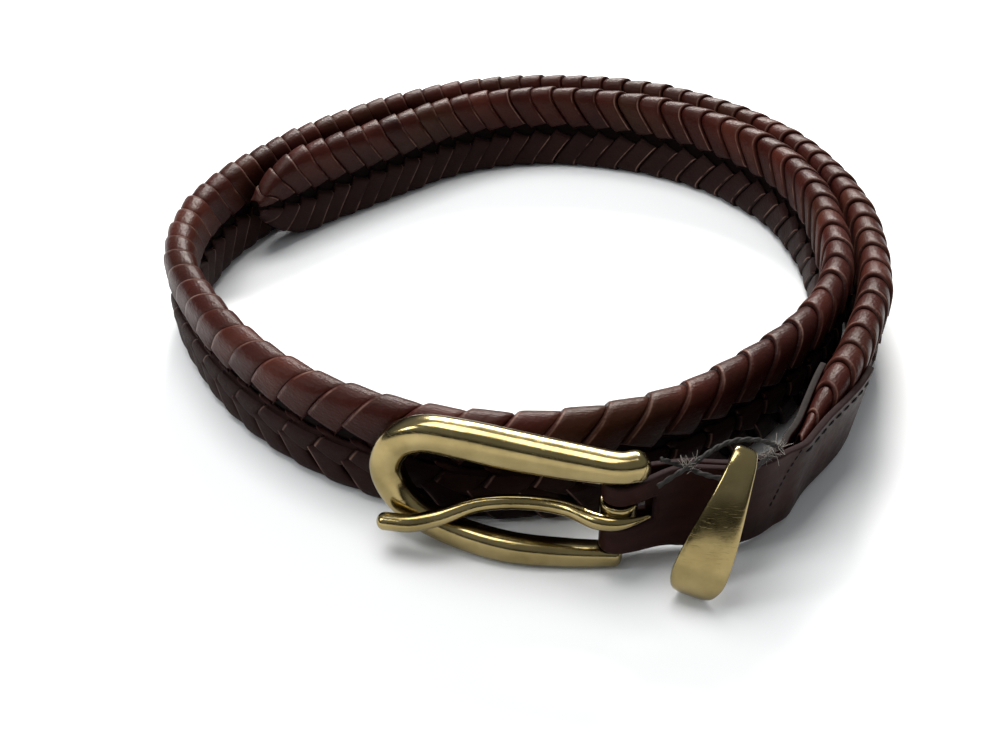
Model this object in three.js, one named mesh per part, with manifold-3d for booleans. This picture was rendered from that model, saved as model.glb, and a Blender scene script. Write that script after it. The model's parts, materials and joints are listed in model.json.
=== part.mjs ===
import * as THREE from "three";
import { mergeVertices } from "three/addons/utils/BufferGeometryUtils.js";
import Module from "manifold-3d";

// A braided leather belt lying coiled on its edge, with its brass buckle open at the front.
// Lengths are millimetres. X runs to the right, Y to the back and Z up. The surface is z = 0.

// Strap
const loopRadius = 110; // mean radius of the coil's outer turn
const strapWidth = 32; // height of the strap as it stands on its edge
const strapThickness = 9;
const layerGap = 3; // usual space between the outer and the inner turn
const tipRounding = 27; // length over which the free end rounds off
const tipRise = 4; // how much higher the end of the tip sits, its lower corner being cut more
const tipThickness = 0.45; // share of the full thickness left at the very end
const tipWidth = 0.2; // share of the full width left at the very end
const braidTaper = 34; // length over which the braid grows to its full section
const braidEndThickness = 0.3; // share of the full thickness where the braid ends in the chape
const braidEndWidth = 0.62; // share of the full width there

// Chape, the folded leather tab that holds the buckle
const chapeLength = 88; // bar to the end of the outer leaf
const innerLeafLength = 84;
const braidStart = 50; // bar to the end of the braid between the leaves
const chapeWidth = 25;
const leafThickness = 1.8;
const slotLength = 10; // reach of the prong slot from the bar into each leaf
const slotSlack = 0.65; // room above and below the prong's eye
const pressLength = 16; // length over which the leaves close up behind the bar
const openLength = 7; // length over which they open again for the end of the braid

// Buckle
const frameLength = 57.5; // bar axis to the middle of the frame's far end
const frameHeight = 36.5;
const armWidth = 8.6;
const armDepth = 7.6;
const barDiameter = 4;
const barOverrun = 7; // how far the upper arm runs past the bar
const frameSwing = -31; // degrees from the line of the chape, negative is towards the coil
const prongLength = 56.5;
const prongDiameter = 4.2;
const prongEyeWall = 2.3;
const prongEyeWidth = 6;
const prongHeight = 18; // height of the prong at the bar
const prongDrop = 8.8; // how far the tip lies below that
const prongSwing = -22.5;

// Keeper, the loose brass loop that leans on the chape
const keeperHeight = 37.4;
const keeperDepth = 9.4;
const keeperBand = 12.6; // widest part of its front band
const keeperThickness = 2;
const keeperLean = 16; // degrees, backwards
const keeperTilt = 18; // degrees, to the right
const keeperTurn = -16; // degrees about its own length, front band towards the buckle
const keeperStation = 18.2; // bar to the keeper's foot, along the chape

// Thread
const threadDiameter = 1.3;

// Clearances
const runningClearance = 0.35; // bar in the leather fold, prong eye on the bar
const seatGap = 0.3; // pieces that touch

const brass = { color: 0xb59a4a, roughness: 0.25, metalness: 1 };
const braidedLeather = { color: 0x4a1f18, roughness: 0.35, metalness: 0 };
const plainLeather = { color: 0x3a1d18, roughness: 0.45, metalness: 0 };
const waxedThread = { color: 0x55504c, roughness: 0.8, metalness: 0 };

// The strap's middle line in plan. Bearings are degrees about the middle of the coil,
// reach is a share of the loop radius. The first row is the buckle bar.
const outerTurn = [
  { bearing: -81, reach: 1.163 }, { bearing: -75, reach: 1.153 }, { bearing: -67.5, reach: 1.195 },
  { bearing: -62, reach: 1.178 }, { bearing: -54, reach: 1.105 }, { bearing: -44, reach: 1.048 },
  { bearing: -34, reach: 1.015 }, { bearing: -20, reach: 1.0 }, { bearing: 0, reach: 0.998 },
  { bearing: 15, reach: 1.022 }, { bearing: 30, reach: 1.064 }, { bearing: 45, reach: 1.1 },
  { bearing: 62, reach: 1.125 }, { bearing: 80, reach: 1.106 }, { bearing: 95, reach: 1.074 },
  { bearing: 110, reach: 1.022 }, { bearing: 130, reach: 0.97 }, { bearing: 150, reach: 0.957 },
  { bearing: 172, reach: 0.985 }, { bearing: 190, reach: 0.99 }, { bearing: 205, reach: 0.962 },
  { bearing: 222, reach: 0.957 }, { bearing: 240, reach: 0.972 }, { bearing: 258, reach: 0.988 },
  { bearing: 272, reach: 0.982 }, { bearing: 288, reach: 0.955 }, { bearing: 300, reach: 0.92 },
];

// The inner turn follows the outer one, inside it. Gap is the space between the two faces,
// a share of the layer gap.
const innerTurn = [
  { bearing: 322, gap: 1.9 }, { bearing: 342, gap: 0.75 }, { bearing: 360, gap: 0.7 },
  { bearing: 375, gap: 0.45 }, { bearing: 390, gap: 0.5 }, { bearing: 405, gap: 1 },
  { bearing: 420, gap: 1.5 }, { bearing: 440, gap: 1.55 }, { bearing: 455, gap: 1.6 },
  { bearing: 467, gap: 1.95 }, { bearing: 480, gap: 2.8 }, { bearing: 495, gap: 2.4 },
  { bearing: 508, gap: 1.25 }, { bearing: 517, gap: 0.7 }, { bearing: 523.5, gap: 0.45 },
];

// Half of the strap's section, from the bottom up: two ridges with a groove between them.
// Across is a share of half the thickness, up a share of the width.
const strapSection = [
  { across: 0.45, up: 0 }, { across: 0.86, up: 0.045 }, { across: 1, up: 0.14 },
  { across: 1, up: 0.37 }, { across: 0.84, up: 0.5 }, { across: 1, up: 0.63 },
  { across: 1, up: 0.86 }, { across: 0.86, up: 0.955 }, { across: 0.45, up: 1 },
];

// How far the strap's top stands out past its foot, a share of the width, where the chape
// pulls it over. Along is a share of the chape's length, counted from the bar.
const strapLean = [
  { along: 0.2, lean: 0 }, { along: 0.45, lean: 0.05 }, { along: 0.65, lean: 0.12 },
  { along: 1, lean: 0.12 }, { along: 1.25, lean: 0.06 }, { along: 1.6, lean: 0 },
];

// Middle of the chape above or below the middle of the strap, a share of the strap's width.
const chapeRise = [
  { along: 0.2, rise: 0 }, { along: 0.5, rise: -0.03 }, { along: 1, rise: -0.03 },
];

// The frame's arms, from the end of the upper arm round to the foot of the bar. Along is a
// share of the frame's length, up of its height, wide and deep of the arm's section, and out
// is the bow towards the front, a share of the arm's depth.
const frameArms = [
  { along: 0, up: 0.86, wide: 0.84, deep: 0.92, out: 0.2 },
  { along: 0.18, up: 0.84, wide: 1, deep: 1, out: 0.12 },
  { along: 0.42, up: 0.83, wide: 1.14, deep: 1.05, out: 0 },
  { along: 0.66, up: 0.855, wide: 1.14, deep: 1.05, out: 0 },
  { along: 0.84, up: 0.85, wide: 1.07, deep: 1, out: 0 },
  { along: 0.95, up: 0.75, wide: 1.02, deep: 1, out: 0 },
  { along: 1, up: 0.56, wide: 1, deep: 1, out: 0.05 },
  { along: 0.965, up: 0.38, wide: 0.95, deep: 1, out: 0.15 },
  { along: 0.87, up: 0.235, wide: 0.88, deep: 0.95, out: 0.3 },
  { along: 0.7, up: 0.145, wide: 0.86, deep: 0.9, out: 0.5 },
  { along: 0.45, up: 0.11, wide: 0.86, deep: 0.9, out: 0.66 },
  { along: 0.2, up: 0.095, wide: 0.76, deep: 0.86, out: 0.38 },
  { along: 0.0, up: 0.085, wide: 0.66, deep: 0.8, out: 0 },
];

// The prong's waves, from the tail that laps over the bar to the tip. Front is measured from
// the bar's axis in prong diameters, fall is a share of the prong's drop.
const prongWave = [
  { along: -0.12, front: 0.7, fall: -0.03, thick: 0.5 }, { along: -0.06, front: 1.08, fall: 0, thick: 0.8 },
  { along: 0.0, front: 1.24, fall: 0.03, thick: 0.95 }, { along: 0.08, front: 1.0, fall: 0.1, thick: 1 },
  { along: 0.22, front: -0.2, fall: 0.22, thick: 0.95 }, { along: 0.4, front: -0.85, fall: 0.38, thick: 0.92 },
  { along: 0.6, front: -0.72, fall: 0.52, thick: 0.95 }, { along: 0.77, front: 0.2, fall: 0.72, thick: 1.02 },
  { along: 0.88, front: 0.42, fall: 0.88, thick: 1.1 }, { along: 1.0, front: 0.14, fall: 1, thick: 1.08 },
];

// The keeper's loop: a straight back bar and a bowed front band. Forward is a share of its
// depth, up of its height, wide of the band.
const keeperLoop = [
  { forward: 0, up: 0.1, wide: 0.36 }, { forward: 0, up: 0.36, wide: 0.34 },
  { forward: 0, up: 0.64, wide: 0.34 }, { forward: 0, up: 0.9, wide: 0.36 },
  { forward: 0.28, up: 0.99, wide: 0.42 }, { forward: 0.62, up: 0.94, wide: 0.5 },
  { forward: 0.88, up: 0.78, wide: 0.62 }, { forward: 1, up: 0.56, wide: 0.8 },
  { forward: 1, up: 0.34, wide: 0.96 }, { forward: 0.9, up: 0.15, wide: 1 },
  { forward: 0.66, up: 0.035, wide: 0.8 }, { forward: 0.3, up: 0, wide: 0.5 },
];

// The thread's two strands, chosen by hand, from the coil's middle. Both leave the stitching
// at the end of the braid and cross in front of the chape; one passes through the keeper.
const strandOver = [
  [59.4, -117.5, 28.6], [57.4, -118.6, 30.6], [54.2, -119.9, 33], [50.4, -121, 34.4],
  [46.4, -121.9, 34.7], [42.6, -123.3, 34], [39, -125.3, 32.8], [35.8, -127, 31.4],
  [32.2, -128.6, 29.9], [28.4, -129.8, 27.6],
];
const strandThrough = [
  [57.2, -119.3, 28.6], [55, -121.8, 29.6], [52.4, -125, 30.3], [49.6, -128.4, 30.7],
  [46, -130.2, 30.6], [42.4, -129.9, 30.2], [39, -127.8, 29.6], [35.8, -125.6, 29.5],
  [32.2, -126, 31.4], [28.9, -127.8, 34],
];

// Spacing of the sections that the solids are made from
const leafStep = 4;
const braidStep = 14;
const tipSections = [0.2, 0.4, 0.6, 0.78, 0.9, 0.97, 1]; // shares of the tip's rounding
const capSections = [0.2, 0.62, 0.9]; // shares of a rod's section, for its rounded ends

const wasm = await Module();
wasm.setup();

/** Reads a column of a table at a place between its rows. */
function readTable(rows, column, key, place) {
  if (place <= rows[0][key]) return rows[0][column];
  for (let i = 1; i < rows.length; i++) {
    const before = rows[i - 1];
    const after = rows[i];
    if (place <= after[key]) {
      const share = (place - before[key]) / (after[key] - before[key]);
      return THREE.MathUtils.lerp(before[column], after[column], share);
    }
  }
  return rows[rows.length - 1][column];
}

/** Turns a bearing and a radius about the coil's middle into a point in plan. */
function planPoint(bearing, radius) {
  const angle = THREE.MathUtils.degToRad(bearing);
  return new THREE.Vector3(radius * Math.cos(angle), radius * Math.sin(angle), 0);
}

/** Joins rings of points into one closed solid, capped at both ends or closed on itself. */
function loft(rings, endless = false) {
  const count = rings[0].length;
  const corners = rings.flat();
  const faces = [];
  const last = endless ? rings.length : rings.length - 1;
  for (let i = 0; i < last; i++) {
    const here = i * count;
    const next = ((i + 1) % rings.length) * count;
    for (let j = 0; j < count; j++) {
      const k = (j + 1) % count;
      faces.push(here + j, next + j, next + k, here + j, next + k, here + k);
    }
  }
  if (!endless) {
    [[0, rings[0], false], [(rings.length - 1) * count, rings[rings.length - 1], true]].forEach(
      ([start, ring, turned]) => {
        const middle = ring.reduce((sum, p) => sum.add(p), new THREE.Vector3()).divideScalar(count);
        const centre = corners.push(middle) - 1;
        for (let j = 0; j < count; j++) {
          const k = (j + 1) % count;
          if (turned) faces.push(start + k, start + j, centre);
          else faces.push(start + j, start + k, centre);
        }
      },
    );
  }
  const geometry = new THREE.BufferGeometry();
  geometry.setAttribute("position", new THREE.Float32BufferAttribute(corners.flatMap((p) => p.toArray()), 3));
  geometry.setIndex(faces);
  if (signedVolume(geometry) < 0) {
    for (let i = 0; i < faces.length; i += 3) [faces[i], faces[i + 1]] = [faces[i + 1], faces[i]];
    geometry.setIndex(faces);
  }
  return geometry;
}

/** Volume of a closed mesh, negative where its faces point inwards. */
function signedVolume(geometry) {
  const place = geometry.attributes.position;
  const index = geometry.index;
  const [a, b, c] = [new THREE.Vector3(), new THREE.Vector3(), new THREE.Vector3()];
  let volume = 0;
  for (let i = 0; i < index.count; i += 3) {
    a.fromBufferAttribute(place, index.getX(i));
    b.fromBufferAttribute(place, index.getX(i + 1));
    c.fromBufferAttribute(place, index.getX(i + 2));
    volume += a.dot(b.cross(c)) / 6;
  }
  return volume;
}

/** Makes a solid for joining and cutting out of a closed geometry. */
function toSolid(geometry) {
  const bare = geometry.clone();
  bare.deleteAttribute("normal");
  bare.deleteAttribute("uv");
  const merged = mergeVertices(bare, 1e-3);
  return new wasm.Manifold(new wasm.Mesh({
    numProp: 3,
    vertProperties: new Float32Array(merged.attributes.position.array),
    triVerts: new Uint32Array(merged.index.array),
  }));
}

/** Turns a solid back into a geometry. */
function toGeometry(solid) {
  const mesh = solid.getMesh();
  const geometry = new THREE.BufferGeometry();
  geometry.setAttribute("position", new THREE.BufferAttribute(new Float32Array(mesh.vertProperties), 3));
  geometry.setIndex(new THREE.BufferAttribute(new Uint32Array(mesh.triVerts), 1));
  return geometry;
}

/** Names a geometry as one piece of the belt. */
function piece(name, geometry, finish) {
  geometry.computeVertexNormals();
  const mesh = new THREE.Mesh(geometry, new THREE.MeshStandardMaterial(finish));
  mesh.name = name;
  return mesh;
}

/** Radius of the outer turn at any bearing. */
function outerRadius(bearing) {
  const rows = outerTurn.map((row) => new THREE.Vector3(row.bearing, row.reach * loopRadius, 0));
  return readTable(rows, "y", "x", bearing);
}

const routePoints = [
  ...outerTurn.map((row) => planPoint(row.bearing, row.reach * loopRadius)),
  ...innerTurn.map((row) => {
    const pitch = strapThickness + row.gap * layerGap;
    return planPoint(row.bearing, outerRadius(row.bearing - 360) - pitch);
  }),
];
const route = new THREE.CatmullRomCurve3(routePoints, false, "centripetal");
route.arcLengthDivisions = 1200;
const routeLength = route.getLength();

/** Point, direction and outward side of the strap's middle line at a distance from the bar. */
function station(distance) {
  const share = THREE.MathUtils.clamp(distance / routeLength, 0, 1);
  const point = route.getPointAt(share);
  const ahead = route.getTangentAt(share);
  return { point, ahead, outward: new THREE.Vector3(ahead.y, -ahead.x, 0) };
}

/** Point of the strap at a distance from the bar, off its middle line and above the surface. */
function strapPoint(distance, offset, height) {
  const { point, outward } = station(distance);
  const lean = readTable(strapLean, "lean", "along", distance / chapeLength) * strapWidth;
  const shift = offset + lean * (height / strapWidth - 0.5);
  return point.addScaledVector(outward, shift).setZ(height);
}

/** Share of the full thickness and width that the braid has near its two ends. */
function braidFullness(distance) {
  const grown = THREE.MathUtils.smoothstep(distance, braidStart, braidStart + braidTaper);
  const left = Math.max(routeLength - distance, 0) / tipRounding;
  const round = left < 1 ? (1 - (1 - left) ** 1.8) ** 0.7 : 1;
  return {
    thick: THREE.MathUtils.lerp(braidEndThickness, 1, grown) * THREE.MathUtils.lerp(tipThickness, 1, round),
    wide: THREE.MathUtils.lerp(braidEndWidth, 1, grown) * Math.max(round, tipWidth),
  };
}

/** Distances from one end to the other, about a step apart. */
function evenSteps(from, to, step) {
  const count = Math.max(Math.round((to - from) / step), 1);
  return Array.from({ length: count + 1 }, (_, i) => from + ((to - from) * i) / count);
}

/** The braid as one solid along the route. */
function braidedStrap() {
  const outline = [
    ...strapSection.map((row) => ({ side: row.across, up: row.up })),
    ...[...strapSection].reverse().map((row) => ({ side: -row.across, up: row.up })),
  ];
  const distances = evenSteps(braidStart, chapeLength + braidStep, leafStep);
  distances.pop();
  distances.push(...evenSteps(chapeLength + braidStep, routeLength - tipRounding, braidStep));
  tipSections.forEach((share) => distances.push(routeLength - tipRounding * (1 - share)));
  const rings = distances.map((distance) => {
    const { thick, wide } = braidFullness(distance);
    const lift = distance > routeLength - tipRounding ? tipRise * (1 - wide) : 0;
    return outline.map(({ side, up }) => {
      const height = strapWidth * (0.5 + (up - 0.5) * wide) + lift;
      return strapPoint(distance, (side * thick * strapThickness) / 2, height);
    });
  });
  return piece("braided_strap", loft(rings), braidedLeather);
}

const foldRadius = barDiameter / 2 + runningClearance + leafThickness / 2;

/** Distance from the strap's middle line to the middle of a leaf. */
function leafOffset(distance) {
  const closed = leafThickness / 2 + seatGap / 2;
  const opening = THREE.MathUtils.smoothstep(distance, 0, pressLength);
  const near = THREE.MathUtils.lerp(foldRadius, closed, opening);
  const overBraid = (braidFullness(Math.max(distance, braidStart)).thick * strapThickness) / 2;
  const far = overBraid + seatGap + leafThickness / 2;
  const start = braidStart - leafStep / 4 - openLength;
  return THREE.MathUtils.lerp(near, far, THREE.MathUtils.smoothstep(distance, start, start + openLength));
}

/** Lowest and highest edge of the leather where it passes round the bar, between the two arms. */
function foldEdges() {
  const reach = (foldRadius + leafThickness / 2) / frameLength;
  const facing = (rows, side) => [0, reach].map((along) => {
    const thick = readTable(rows, "wide", "along", along) * armWidth;
    return readTable(rows, "up", "along", along) * frameHeight + (side * thick) / 2;
  });
  const foot = Math.max(...facing(frameArms.slice(-2).reverse(), 1));
  const head = Math.min(...facing(frameArms.slice(0, 2), -1));
  return [foot + seatGap, head - seatGap];
}

/** Lowest and highest edge of the chape at a distance from the bar. */
function chapeEdges(distance) {
  const middle = strapWidth * (0.5 + readTable(chapeRise, "rise", "along", distance / chapeLength));
  const [low, high] = foldEdges();
  const pressed = Math.min(distance / pressLength, 1);
  return [
    THREE.MathUtils.lerp(low, middle - chapeWidth / 2, pressed),
    THREE.MathUtils.lerp(high, middle + chapeWidth / 2, pressed),
  ];
}

const bar = station(0);

/** The chape: two leaves and the fold round the bar, with a slot for the prong. */
function chape() {
  const rings = [];
  const leafRing = (distance, side) => {
    const [low, high] = chapeEdges(distance);
    const inside = side * (leafOffset(distance) - leafThickness / 2);
    const outside = side * (leafOffset(distance) + leafThickness / 2);
    return [
      strapPoint(distance, outside, low), strapPoint(distance, outside, high),
      strapPoint(distance, inside, high), strapPoint(distance, inside, low),
    ];
  };
  const outerLeaf = evenSteps(0, chapeLength, leafStep).slice(1).reverse();
  outerLeaf.forEach((distance) => rings.push(leafRing(distance, 1)));
  const [low, high] = chapeEdges(0);
  const turns = 12;
  for (let i = 0; i <= turns; i++) {
    const angle = (Math.PI * i) / turns;
    const away = bar.outward.clone().multiplyScalar(Math.cos(angle));
    away.addScaledVector(bar.ahead, -Math.sin(angle));
    const outer = bar.point.clone().addScaledVector(away, foldRadius + leafThickness / 2);
    const inner = bar.point.clone().addScaledVector(away, foldRadius - leafThickness / 2);
    rings.push([
      outer.clone().setZ(low), outer.clone().setZ(high), inner.clone().setZ(high), inner.clone().setZ(low),
    ]);
  }
  const innerLeaf = evenSteps(0, innerLeafLength, leafStep).slice(1);
  innerLeaf.forEach((distance) => rings.push(leafRing(distance, -1)));

  const slotHeight = prongEyeWidth + 2 * slotSlack;
  const slot = new THREE.BoxGeometry(slotLength + 3 * foldRadius, 6 * foldRadius, slotHeight);
  slot.translate(slotLength - (slotLength + 3 * foldRadius) / 2, 0, 0);
  slot.rotateZ(Math.atan2(bar.ahead.y, bar.ahead.x));
  slot.translate(bar.point.x, bar.point.y, prongHeight);
  return piece("chape", toGeometry(toSolid(loft(rings)).subtract(toSolid(slot))), plainLeather);
}

/** Ring of a given section about a point of a bent rod, its second axis near to the front. */
function rodRing(point, ahead, halfWide, halfDeep, sides) {
  const front = new THREE.Vector3(0, 1, 0).addScaledVector(ahead, -ahead.y).normalize();
  const side = new THREE.Vector3().crossVectors(ahead, front);
  return Array.from({ length: sides }, (_, i) => {
    const angle = ((i + 0.5) / sides) * 2 * Math.PI;
    return point.clone()
      .addScaledVector(side, halfWide * Math.cos(angle))
      .addScaledVector(front, halfDeep * Math.sin(angle));
  });
}

/** A rod through the rows' points, closed by rounded ends. Each row has a point and half sizes. */
function roundedRod(rows, sides, steps, startCap, endCap) {
  const curve = new THREE.CatmullRomCurve3(rows.map((row) => row.point), false, "centripetal");
  const rings = [];
  const atShare = (share) => {
    const place = share * (rows.length - 1);
    const i = Math.min(Math.floor(place), rows.length - 2);
    return {
      point: curve.getPoint(share),
      ahead: curve.getTangent(share),
      wide: THREE.MathUtils.lerp(rows[i].wide, rows[i + 1].wide, place - i),
      deep: THREE.MathUtils.lerp(rows[i].deep, rows[i + 1].deep, place - i),
    };
  };
  const addCap = (end, length, sign, scales) => {
    scales.forEach((scale) => {
      const reach = length * Math.sqrt(1 - scale * scale) * sign;
      rings.push(rodRing(end.point.clone().addScaledVector(end.ahead, reach), end.ahead,
        end.wide * scale, end.deep * scale, sides));
    });
  };
  addCap(atShare(0), startCap, -1, capSections);
  for (let i = 0; i <= steps; i++) {
    const at = atShare(i / steps);
    rings.push(rodRing(at.point, at.ahead, at.wide, at.deep, sides));
  }
  addCap(atShare(1), endCap, 1, [...capSections].reverse());
  return loft(rings);
}

/** The buckle frame and its bar, one casting. Its own x runs from the bar to the far end. */
function buckleFrame() {
  const rows = frameArms.map((row) => ({
    point: new THREE.Vector3(row.along * frameLength, row.out * armDepth, row.up * frameHeight),
    wide: (row.wide * armWidth) / 2,
    deep: (row.deep * armDepth) / 2,
  }));
  const overrun = {
    ...rows[0],
    point: new THREE.Vector3(rows[0].deep - barOverrun, 0, rows[0].point.z),
  };
  const arms = roundedRod([overrun, ...rows], 12, 56, rows[0].deep, barDiameter / 2);
  const foot = rows[rows.length - 1].point.z;
  const head = rows[0].point.z;
  const post = new THREE.CylinderGeometry(barDiameter / 2, barDiameter / 2, head - foot, 20);
  post.rotateX(Math.PI / 2);
  post.translate(0, 0, (head + foot) / 2);
  return piece("buckle_frame", toGeometry(toSolid(arms).add(toSolid(post))), brass);
}

/** The prong: a waved rod with an eye round the bar. */
function prong() {
  const rows = prongWave.map((row) => ({
    point: new THREE.Vector3(row.along * prongLength, row.front * prongDiameter,
      prongHeight - row.fall * prongDrop),
    wide: (row.thick * prongDiameter) / 2,
    deep: (row.thick * prongDiameter) / 2,
  }));
  const rod = roundedRod(rows, 10, 34, prongDiameter / 4, prongDiameter / 2);
  const bore = barDiameter / 2 + runningClearance;
  const rim = bore + prongEyeWall;
  const half = prongEyeWidth / 2;
  const eye = new THREE.LatheGeometry([
    new THREE.Vector2(bore, -half), new THREE.Vector2(rim, -half), new THREE.Vector2(rim, half),
    new THREE.Vector2(bore, half), new THREE.Vector2(bore, -half),
  ], 24);
  eye.rotateX(Math.PI / 2);
  eye.translate(0, 0, prongHeight);
  const passage = new THREE.CylinderGeometry(bore, bore, 4 * prongEyeWidth, 24);
  passage.rotateX(Math.PI / 2);
  passage.translate(0, 0, prongHeight);
  const solid = toSolid(rod).add(toSolid(eye)).subtract(toSolid(passage));
  return piece("prong", toGeometry(solid), brass);
}

/** The keeper: a bowed front band, tapered, closed by a straight bar at the back. */
function keeper() {
  const shape = keeperLoop.map((row) => new THREE.Vector3(0, -row.forward * keeperDepth, row.up * keeperHeight));
  const curve = new THREE.CatmullRomCurve3(shape, true, "centripetal");
  const steps = 48;
  const half = keeperThickness / 2;
  const rings = Array.from({ length: steps }, (_, i) => {
    const share = i / steps;
    const place = share * keeperLoop.length;
    const row = keeperLoop[Math.floor(place)];
    const next = keeperLoop[(Math.floor(place) + 1) % keeperLoop.length];
    const wide = (THREE.MathUtils.lerp(row.wide, next.wide, place % 1) * keeperBand) / 2;
    const point = curve.getPoint(share);
    const ahead = curve.getTangent(share);
    const face = new THREE.Vector3(0, ahead.z, -ahead.y);
    const corner = (x, y) => point.clone().addScaledVector(face, y * half).setX(x * wide);
    return [
      corner(-1, -0.4), corner(-1, 0.4), corner(-0.85, 1), corner(0.85, 1),
      corner(1, 0.4), corner(1, -0.4), corner(0.85, -1), corner(-0.85, -1),
    ];
  });
  const mesh = piece("keeper", loft(rings, true), brass);
  const lean = THREE.MathUtils.degToRad(keeperLean);
  const tilt = THREE.MathUtils.degToRad(keeperTilt);
  const turn = THREE.MathUtils.degToRad(keeperTurn);
  mesh.rotation.set(-lean, tilt, turn, "YXZ");

  // The foot stands on the surface, and the back bar leans on the chape's upper outer edge.
  const foot = seatGap - new THREE.Box3().setFromObject(mesh, true).min.z;
  const [, edgeHeight] = chapeEdges(keeperStation);
  const footX = strapPoint(keeperStation, 0, 0).x;
  const touchX = footX + (edgeHeight - foot) * Math.tan(tilt);
  const halfBar = (keeperLoop[0].wide * keeperBand) / 2;
  const edge = evenSteps(0, chapeLength, 1)
    .map((distance) => strapPoint(distance, leafOffset(distance) + leafThickness / 2, edgeHeight))
    .filter((point) => Math.abs(point.x - touchX) < halfBar + keeperThickness);
  const touchY = Math.min(...edge.map((point) => point.y));
  const backwards = ((edgeHeight - foot) * Math.tan(lean)) / Math.cos(tilt);
  const corner = halfBar * Math.sin(Math.abs(turn)) + (keeperThickness / 2) * Math.cos(turn);
  mesh.position.set(footX, touchY - seatGap - corner / Math.cos(lean) - backwards, foot);
  return mesh;
}

/** A strand of thread along its hand-chosen points. */
function strand(name, points) {
  const curve = new THREE.CatmullRomCurve3(points.map((p) => new THREE.Vector3(...p)), false, "centripetal");
  const section = new THREE.Shape();
  const sides = 8;
  for (let i = 0; i < sides; i++) {
    const angle = (i / sides) * 2 * Math.PI;
    const [x, y] = [(threadDiameter / 2) * Math.cos(angle), (threadDiameter / 2) * Math.sin(angle)];
    if (i === 0) section.moveTo(x, y);
    else section.lineTo(x, y);
  }
  const steps = Math.round(curve.getLength() / (2 * threadDiameter));
  return piece(name, new THREE.ExtrudeGeometry(section, { extrudePath: curve, steps }), waxedThread);
}

const coil = new THREE.Group();
coil.add(braidedStrap(), chape(), keeper());

const chapeLine = THREE.MathUtils.radToDeg(Math.atan2(-bar.ahead.y, -bar.ahead.x));
const frameMount = new THREE.Group();
frameMount.position.copy(bar.point);
frameMount.rotation.z = THREE.MathUtils.degToRad(chapeLine + frameSwing);
frameMount.add(buckleFrame());
const prongMount = new THREE.Group();
prongMount.position.copy(bar.point);
prongMount.rotation.z = THREE.MathUtils.degToRad(chapeLine + prongSwing);
prongMount.add(prong());
coil.add(frameMount, prongMount);

// The origin is the middle of everything but the thread, on the surface.
coil.updateMatrixWorld(true);
const middle = new THREE.Box3().setFromObject(coil, true).getCenter(new THREE.Vector3());
coil.add(strand("thread_over", strandOver), strand("thread_through", strandThrough));

const belt = new THREE.Group();
coil.position.set(-middle.x, -middle.y, 0);
belt.add(coil);

export default belt;
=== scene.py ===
"""A braided leather belt coiled on its edge, with its brass buckle open at the front.

Everything is in metres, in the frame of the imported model: X right, Y back, Z up, surface at z = 0.
"""

from __future__ import annotations

import json
import logging
import math
from dataclasses import dataclass, field
from enum import Enum
from typing import Callable, Sequence

import bpy
import numpy as np
from mathutils import Matrix, Vector

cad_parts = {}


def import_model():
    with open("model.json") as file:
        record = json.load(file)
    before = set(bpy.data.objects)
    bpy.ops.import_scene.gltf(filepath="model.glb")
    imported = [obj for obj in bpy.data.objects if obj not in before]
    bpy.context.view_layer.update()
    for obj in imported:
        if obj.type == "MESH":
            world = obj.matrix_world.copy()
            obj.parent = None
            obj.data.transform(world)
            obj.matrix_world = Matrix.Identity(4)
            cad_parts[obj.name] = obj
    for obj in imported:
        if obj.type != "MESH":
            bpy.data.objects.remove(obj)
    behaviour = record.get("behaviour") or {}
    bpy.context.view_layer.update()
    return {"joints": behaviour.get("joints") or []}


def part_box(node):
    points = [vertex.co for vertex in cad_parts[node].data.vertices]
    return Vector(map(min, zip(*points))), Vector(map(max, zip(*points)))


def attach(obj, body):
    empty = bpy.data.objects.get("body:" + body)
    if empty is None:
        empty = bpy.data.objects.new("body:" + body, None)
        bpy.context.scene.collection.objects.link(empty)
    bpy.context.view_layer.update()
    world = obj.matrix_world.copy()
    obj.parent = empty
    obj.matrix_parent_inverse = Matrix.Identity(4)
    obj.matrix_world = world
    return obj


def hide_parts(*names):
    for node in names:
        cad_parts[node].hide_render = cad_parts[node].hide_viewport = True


log = logging.getLogger("belt")

MM = 0.001
TINY = 1e-12
UP = np.array([0.0, 0.0, 1.0])

Colour = tuple[float, float, float]
Span = tuple[float, float]


class Body(Enum):
    """The bodies that the belt's pieces move with."""

    LEATHER = "leather"
    FRAME = "frame"
    PRONG = "prong"


class Slot(Enum):
    """The record's material slots."""

    BRAID = "braided_leather"
    CHAPE = "plain_leather"
    BRASS = "brass"
    THREAD = "waxed_thread"


# Helpers for tables, curves and meshes


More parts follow.
